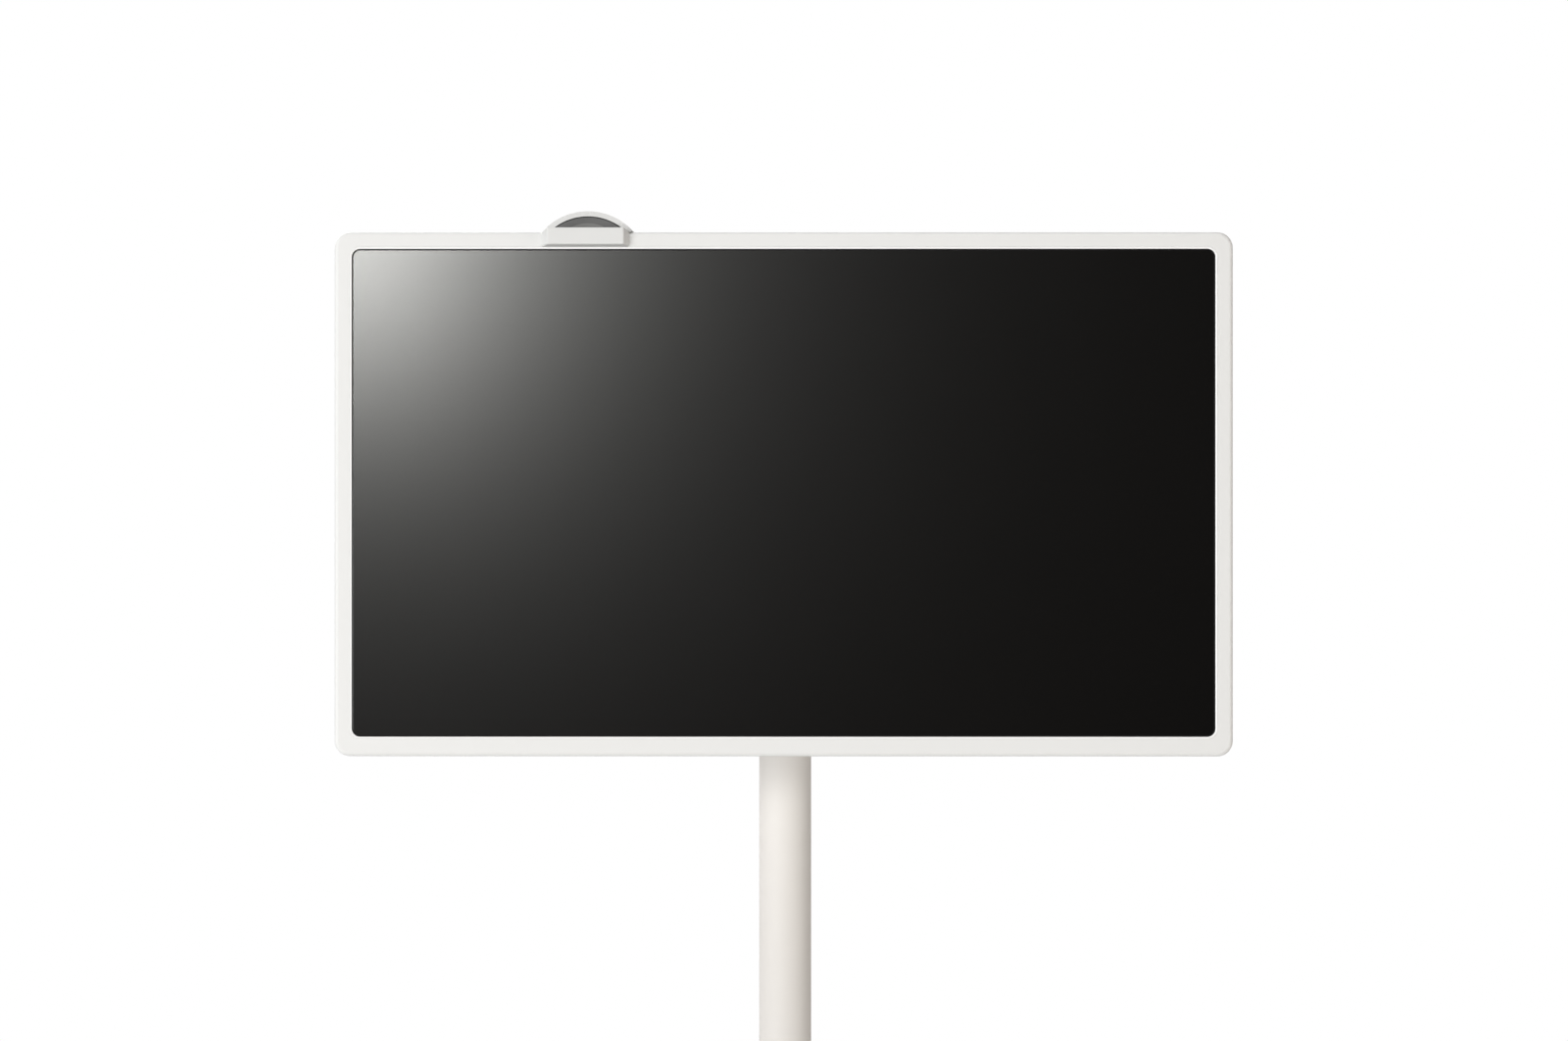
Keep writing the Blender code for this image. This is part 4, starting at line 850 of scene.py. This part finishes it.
def column():
    outer_r, inner_r = COLUMN.size.x / 2, COLUMN.size.x / 2 - 2.5 * MM
    low, high = COLUMN.low.z, COLUMN.high.z
    corners = [(outer_r, high, 0.3 * MM), (outer_r, low, 0.3 * MM), (inner_r, low, 0), (inner_r, high, 0)]
    piece = lathe("column_tube", corners, (0, POLE_Y, 0), sides=96)
    finished(piece, CAST, "column", "inner_column", slot="aluminium")

    spindle_r, spigot_r, socket_r, socket_top = 10 * MM, inner_r - 0.3 * MM, 4.3 * MM, 0.829
    flange_r, flange_low, flange_top = COLUMN_HEAD.size.x / 2, high + 0.3 * MM, ARM.low.z - 0.7 * MM
    low, high = COLUMN_HEAD.low.z, COLUMN_HEAD.high.z
    corners = [
        (0, high, 0), (spindle_r, high, 0.8 * MM), (spindle_r, flange_top, 0),
        (flange_r, flange_top, 0.5 * MM), (flange_r, flange_low, 0.5 * MM), (spigot_r, flange_low, 0),
        (spigot_r, low, 0.5 * MM), (socket_r, low, 0), (socket_r, socket_top, 0), (0, socket_top, 0),
    ]
    piece = lathe("column_spindle", corners, (0, POLE_Y, 0), sides=112)
    finished(piece, CAST, "column", "column_head", slot="aluminium")


# ---- Base ----
CASTER_NUMBERS = range(1, 6)


def base():
    radius, top, skirt = BASE.size.x / 2, BASE.high.z, BASE.low.z
    wall, flat_r, fall = 3 * MM, 0.150, 26 * MM
    angles = arc_steps(16)
    shoulder = [(flat_r + (radius - flat_r) * math.sin(a), top - fall * (1 - math.cos(a))) for a in angles]
    outer = [(0, top, 0), (flat_r, top, 0)]
    outer += [(r, z, 0) for r, z in shoulder[1:]] + [(radius, skirt, 1 * MM)]
    down = wall * 0.9                  # the shoulder is a little thinner than the flat top
    inside = [(r - wall * math.sin(a), z - down * math.cos(a), 0) for (r, z), a in zip(shoulder, angles)]
    inner = [(radius - wall, skirt, 0.6 * MM), (radius - wall, top - fall - wall, 0)]
    inner += inside[-2::-1] + [(0, top - wall, 0)]
    cover = lathe("base_shell", outer + inner, (0, 0, 0), sides=160)
    window = rounded_outline(19 * MM, 14.4 * MM, 2.5 * MM, 0, INLET.middle.z)
    cutters = [
        rod("pole_hole", 23.5 * MM, (0, POLE_Y, top - 20 * MM), (0, POLE_Y, top + 20 * MM), sides=96),
        prism("inlet_window", window, "Y", radius - 14 * MM, radius + 10 * MM),
    ]
    boolean(cover, cutters, "DIFFERENCE")
    finished(smoothed(cover), WHITE_COVER, "stand", "base_cover", slot="cover_white")

    strip_low, strip_high, proud, bite = skirt + 1.5 * MM, skirt + 7 * MM, 0.7 * MM, 0.02 * MM
    corners = [
        (radius + bite, strip_high, 0), (radius + proud, strip_high, 0.5 * MM),
        (radius + proud, strip_low, 0.5 * MM), (radius + bite, strip_low, 0),
    ]
    strip = lathe("base_bumper", corners, (0, 0, 0), sides=160)
    finished(strip, PAD_GREY, "stand", slot="rubber_grey")


def inlet():
    low, high = INLET.low, INLET.high
    mouth_z = low.z + 6.2 * MM
    body = block("inlet_body", low, high, 0.8 * MM, 2)
    bore_r, bore_end, beyond = 3.3 * MM, -12 * MM, 8 * MM
    corners = [(0, beyond, 0), (bore_r, beyond, 0), (bore_r, bore_end, 0), (0, bore_end, 0)]
    bore = lathe("inlet_bore", corners, (0, high.y, mouth_z), Y_AXIS, sides=48)
    boolean(body, [bore], "DIFFERENCE")
    finished(smoothed(body, 0.2 * MM), BLACK_PLASTIC, "stand", "power_inlet", slot="black_plastic")
    pin_start, pin_end = (0, high.y - 13 * MM, mouth_z), (0, high.y - 1.7 * MM, mouth_z)
    pin = rod("inlet_pin", 1 * MM, pin_start, pin_end, 24, 0.4 * MM)
    finished(pin, STEEL, "stand", slot="steel")


def casters():
    for number in CASTER_NUMBERS:
        wheel = Extent(f"caster_wheel_{number}")
        hub = wheel.middle
        half, tread_r, bore, hub_r = wheel.size.x / 2, hub.z, 2.3 * MM, 8.6 * MM
        corners = [
            (tread_r, half, 2.2 * MM), (tread_r, -half, 2.2 * MM),
            (hub_r, -half, 0.6 * MM), (hub_r, half, 0.6 * MM),
        ]
        tread = lathe(f"caster_tread_{number}", corners, hub, X_AXIS, sides=72)
        finished(tread, RUBBER, f"wheel_{number}", f"caster_wheel_{number}", slot="rubber_grey")
        rim, rim_face, dish, bore_face = hub_r - 0.05 * MM, half - 0.2 * MM, half - 0.8 * MM, half - 0.1 * MM
        one_face = [
            (rim, rim_face, 0.4 * MM), (rim - 1.6 * MM, rim_face, 0.3 * MM), (rim - 2.4 * MM, dish, 0.3 * MM),
            (bore + 1.6 * MM, dish, 0.2 * MM), (bore + 1.2 * MM, bore_face, 0.2 * MM), (bore, bore_face, 0),
        ]
        other_face = [(radius, -along, fillet) for radius, along, fillet in one_face]
        corners = one_face[:1] + other_face + one_face[:0:-1]
        disc = lathe(f"caster_hub_{number}", corners, hub, X_AXIS, sides=48, steps=2)
        finished(disc, NYLON, f"wheel_{number}", slot="nylon_grey")


# ---- Phone holder ----
ARC_X, ARC_R = CLIP.middle.x, 48 * MM
ARC_Z = CLIP.high.z - ARC_R + 0.5 * MM      # half a millimetre above the CAD clip
PLATE_X, PLATE_HALF = -154 * MM, 34.6 * MM
REST_FRONT, REST_BACK = -106.3 * MM, -98.3 * MM


def arch(radius, z_low, centre_z=ARC_Z, steps=40):
    """The outline of a circle's cap above z_low."""
    half = math.acos((z_low - centre_z) / radius)
    outline = []
    for step in range(steps + 1):
        angle = math.pi / 2 - half + 2 * half * step / steps
        outline.append((ARC_X + radius * math.cos(angle), centre_z + radius * math.sin(angle)))
    return outline


def bent_plate(floor_low, floor_top):
    """The sheet that lies on the display's top edge and turns down its back, with round lower corners."""
    left, right, front = PLATE_X - PLATE_HALF, PLATE_X + PLATE_HALF, CLIP.low.y
    jaw_low, jaw_front, jaw_back = CLIP.low.z, -78.2 * MM, CLIP.high.y
    bend, inside_bend, edge, beyond = 2.0 * MM, 0.6 * MM, 0.4 * MM, 5 * MM
    side_view = [
        (front, floor_low, edge), (front, floor_top, edge), (jaw_back, floor_top, bend),
        (jaw_back, jaw_low, edge), (jaw_front, jaw_low, edge), (jaw_front, floor_low, inside_bend),
    ]
    plate = prism("holder_plate", filleted(side_view), "X", left, right, 0.3 * MM, 2)
    corner = 6 * MM
    outline = filleted([
        (left - beyond, floor_top + beyond, 0), (right + beyond, floor_top + beyond, 0),
        (right + beyond, floor_low - beyond, 0), (right, floor_low - beyond, 0),
        (right, jaw_low, corner), (left, jaw_low, corner),
        (left, floor_low - beyond, 0), (left - beyond, floor_low - beyond, 0),
    ], steps=8)
    kept = prism("jaw_outline", outline, "Y", front - beyond, jaw_back + beyond)
    return boolean(plate, [kept], "INTERSECT")


def backrest():
    """The clip with its arc-topped backrest and the dark pad in the recess of the backrest, a lighter grey
    step on the pad that is a painted highlight, and a black ring behind the pad that is painted shade.
    """
    floor_low, floor_top = BEZEL.high.z + 0.3 * MM, BEZEL.high.z + 1.8 * MM
    cap = arch(ARC_R, floor_low + 0.3 * MM)
    saddle = prism("holder_saddle", cap, "Y", REST_FRONT, REST_BACK, 0.9 * MM, 4)
    recess_r, recess_low, recess_back = ARC_R - 4 * MM, floor_top + 1.6 * MM, REST_FRONT + 1.6 * MM
    recess = prism("recess", arch(recess_r, recess_low), "Y", REST_FRONT - 10 * MM, recess_back)
    boolean(saddle, [recess], "DIFFERENCE")
    boolean(saddle, [bent_plate(floor_low, floor_top)], "UNION")
    finished(smoothed(saddle), WHITE_HOLDER, "phone_holder", "holder_clip", slot="frame_white")

    seam, pad_gap, rounding = 0.05 * MM, 0.8 * MM, 0.12 * MM
    pad_front, pad_back, shade_ring_front = REST_FRONT + 0.35 * MM, REST_FRONT + 0.7 * MM, REST_FRONT + 0.75 * MM
    # A black ring behind the pad, just round its edge: painted shade of the narrow gap in the recess.
    cap = arch(recess_r - seam, recess_low + seam)
    painted_shade_ring = prism("insert_painted_shade_ring", cap, "Y", shade_ring_front, recess_back - seam)
    finished(painted_shade_ring, GASKET_AND_PAINTED_SHADE, "phone_holder", slot="rubber_grey")
    cap = arch(recess_r - pad_gap, recess_low + pad_gap)
    pad = prism("holder_insert", cap, "Y", pad_front, pad_back, rounding, 2)
    finished(smoothed(pad), PAD_GREY, "phone_holder", "holder_pad", slot="rubber_grey")
    # A raised step on the pad in the lighter grey, which paints a highlight on it.
    lens_r, lens_z = 27.7 * MM, 1.0451
    cap = arch(lens_r, recess_low + 1 * MM, lens_z)
    lens = prism("insert_lens", cap, "Y", pad_front - 0.3 * MM, pad_front - 0.02 * MM, rounding, 2)
    finished(smoothed(lens), LENS_PAINTED_HIGHLIGHT, "phone_holder", slot="rubber_grey")


def between(first, last, share):
    return first + (last - first) * share


def holder_front():
    """The front block, whose sides slope in towards its front face."""
    half, side_slope, left_slope = LIP.size.x / 2, 3.9 * MM, 0.8 * MM
    low_slope, top_slope = 2.1 * MM, 2.8 * MM
    back_corner, front_corner = 2.0 * MM, 0.9 * MM
    edge, edge_start, top_share = 0.9 * MM, 0.86, 0.6
    stations = [(0.0, 0.0), (edge_start, 0.0)]
    for angle in arc_steps(5)[1:]:
        stations.append((between(edge_start, 1, math.sin(angle)), edge * (1 - math.cos(angle))))
    loops = []
    for along, turned in stations:
        wider = between(left_slope / 2, 0, along)
        width = 2 * (between(half + wider, half - side_slope + wider, along) - turned)
        z_low = between(LIP.low.z, LIP.low.z + low_slope, along) + turned
        z_high = between(LIP.high.z - top_slope, LIP.high.z, along) - turned * top_share
        corner = between(back_corner, front_corner, along)
        y, z_mid = between(LIP.high.y, LIP.low.y, along), (z_low + z_high) / 2
        loops.append(rounded_loop(width, z_high - z_low, corner, y, z_mid, LIP.middle.x - wider, steps=6))
    finished(loft("holder_front", loops), WHITE_HOLDER, "phone_holder", "holder_lip", slot="frame_white")


# ---- CAD nodes that stay ----
FORKS = [f"caster_fork_{number}" for number in CASTER_NUMBERS]
CASTER_AXLES = [f"caster_axle_{number}" for number in CASTER_NUMBERS]
KEPT = {
    STEEL: [
        "ballast_plate", "pole_flange", "pole_bolt", "gas_spring_cylinder", "gas_spring_rod", "swivel_nut",
        "friction_washer_left", "friction_washer_right", "pivot_nut", "mount_cup", *FORKS, *CASTER_AXLES,
    ],
    CAST: ["chassis_plate"],
    NYLON: ["column_guide"],
    PANEL_GREY: ["lcd_panel", "backlight_unit"],
    BLACK_PLASTIC: ["middle_frame", "speaker_left", "speaker_right"],
    BOARD: ["main_board", "driver_board", "charger_board"],
    BATTERY: ["battery_pack"],
    PAD_GREY: ["holder_liner"],
}
SOFTENED = {**dict.fromkeys(FORKS, 0.3 * MM), **dict.fromkeys(CASTER_AXLES, 0.25 * MM)}


def kept_nodes():
    for material, names in KEPT.items():
        for name in names:
            node = frame["nodes"][name]
            for slot in node.material_slots:
                slot.material = material
    for name, width in SOFTENED.items():
        bevelled(frame["nodes"][name], width, 2, math.radians(40), harden=True)


# ---- Stage ----
CAMERA_DISTANCE = 5.0              # from the front of the display
CAMERA_DROP = 0.0204               # below the middle of the display
CAMERA_SIDE = 0.031                # right of the middle of the display
AIM_X = 0.0004                     # that the camera faces, at the front of the display
FRAME_WIDTH = 1.2269               # of the picture, at the front of the display
SENSOR = 36.0                      # width of the camera's sensor in millimetres
GLOW_AT = (-0.724, -5.0, 1.426)    # the strip light that the top left of the screen reflects
GLOW_TURN = (0.3, 5.0, -0.4)       # the way it faces
WARM, FAINTLY_YELLOW, WHITE = (1.0, 0.92, 0.84), (1.0, 1.0, 0.965), (1.0, 1.0, 1.0)
FILL_TINT, FILL_STRENGTH = (1, 0.995, 0.985, 1), 0.07


def camera():
    data = bpy.data.cameras.new("camera")
    data.sensor_width = SENSOR
    data.lens = SENSOR * CAMERA_DISTANCE / FRAME_WIDTH
    data.clip_end = 60.0
    obj = placed("camera", data)
    obj.location = (CAMERA_SIDE, BEZEL.low.y - CAMERA_DISTANCE, DISPLAY_Z - CAMERA_DROP)
    obj.rotation_euler = (math.pi / 2, 0, math.atan2(CAMERA_SIDE - AIM_X, CAMERA_DISTANCE))
    bpy.context.scene.camera = obj


def softbox(name, place, aim, width, height, power, tint=WHITE):
    data = bpy.data.lights.new(name, "AREA")
    data.shape = "RECTANGLE"
    data.size, data.size_y = width, height
    data.energy = power
    data.color = tint
    obj = placed(name, data)
    obj.location = place
    obj.rotation_euler = (Vector(aim) - Vector(place)).to_track_quat("-Z", "Y").to_euler()
    obj.visible_camera = False


def lights():
    middle = (0, 0, DISPLAY_Z)
    softbox("key_softbox", (-4.4, -5.5, 0.9), middle, width=3.4, height=2.4, power=294)
    softbox("left_softbox", (-3.6, -0.9, 1.2), middle, width=1.2, height=1.8, power=12)
    softbox("right_softbox", (3.4, -1.4, 1.0), middle, width=1.8, height=1.9, power=36, tint=WARM)
    softbox("top_softbox", (-0.3, -0.7, 3.6), middle, width=2.4, height=2.4, power=36)
    softbox("back_softbox", (-1.6, 3.6, 2.4), middle, width=2.6, height=2.2, power=120)
    aim = Vector(GLOW_AT) + Vector(GLOW_TURN)
    softbox("glow_strip", GLOW_AT, aim, width=0.06, height=0.53, power=27, tint=FAINTLY_YELLOW)


def world():
    """White behind the object for the camera, and a dim even fill for everything else."""
    made = bpy.data.worlds.new("studio")
    made.use_nodes = True
    tree = made.node_tree
    output = tree.nodes["World Output"]
    seen = tree.nodes["Background"]
    seen.inputs["Color"].default_value = (1, 1, 1, 1)
    seen.inputs["Strength"].default_value = 1.0
    fill = tree.nodes.new("ShaderNodeBackground")
    fill.inputs["Color"].default_value = FILL_TINT
    fill.inputs["Strength"].default_value = FILL_STRENGTH
    path = tree.nodes.new("ShaderNodeLightPath")
    choice = tree.nodes.new("ShaderNodeMixShader")
    tree.links.new(path.outputs["Is Camera Ray"], choice.inputs["Fac"])
    tree.links.new(fill.outputs["Background"], choice.inputs[1])
    tree.links.new(seen.outputs["Background"], choice.inputs[2])
    tree.links.new(choice.outputs["Shader"], output.inputs["Surface"])
    bpy.context.scene.world = made


def floor():
    bm = bmesh.new()
    bmesh.ops.create_circle(bm, cap_ends=True, segments=96, radius=3.0)
    disc = object_from("floor", bm)
    shader = Shader("pale_floor", Specular_IOR_Level=0.2)
    grain = shader.noise(6.0, detail=3.0)
    disc.data.materials.append(shader.use(
        Base_Color=shader.ramp(grain, (0.3, (0.86, 0.86, 0.855)), (0.7, (0.875, 0.875, 0.87))),
        Roughness=shader.levels(grain, 0.6, 0.7),
    ))


def look():
    scene = bpy.context.scene
    scene.view_settings.view_transform = "Standard"
    scene.view_settings.look = "None"
    scene.view_settings.exposure = 0.0
    scene.view_settings.gamma = 1.0


def build():
    display_frame()
    screen()
    back_cover()
    keys()
    back_screws()
    port_panel()
    head()
    tilt_yoke()
    tilt_pin()
    hub_shroud()
    pivot_disc()
    pole()
    column()
    base()
    inlet()
    casters()
    backrest()
    holder_front()
    kept_nodes()
    camera()
    lights()
    world()
    floor()
    look()


build()
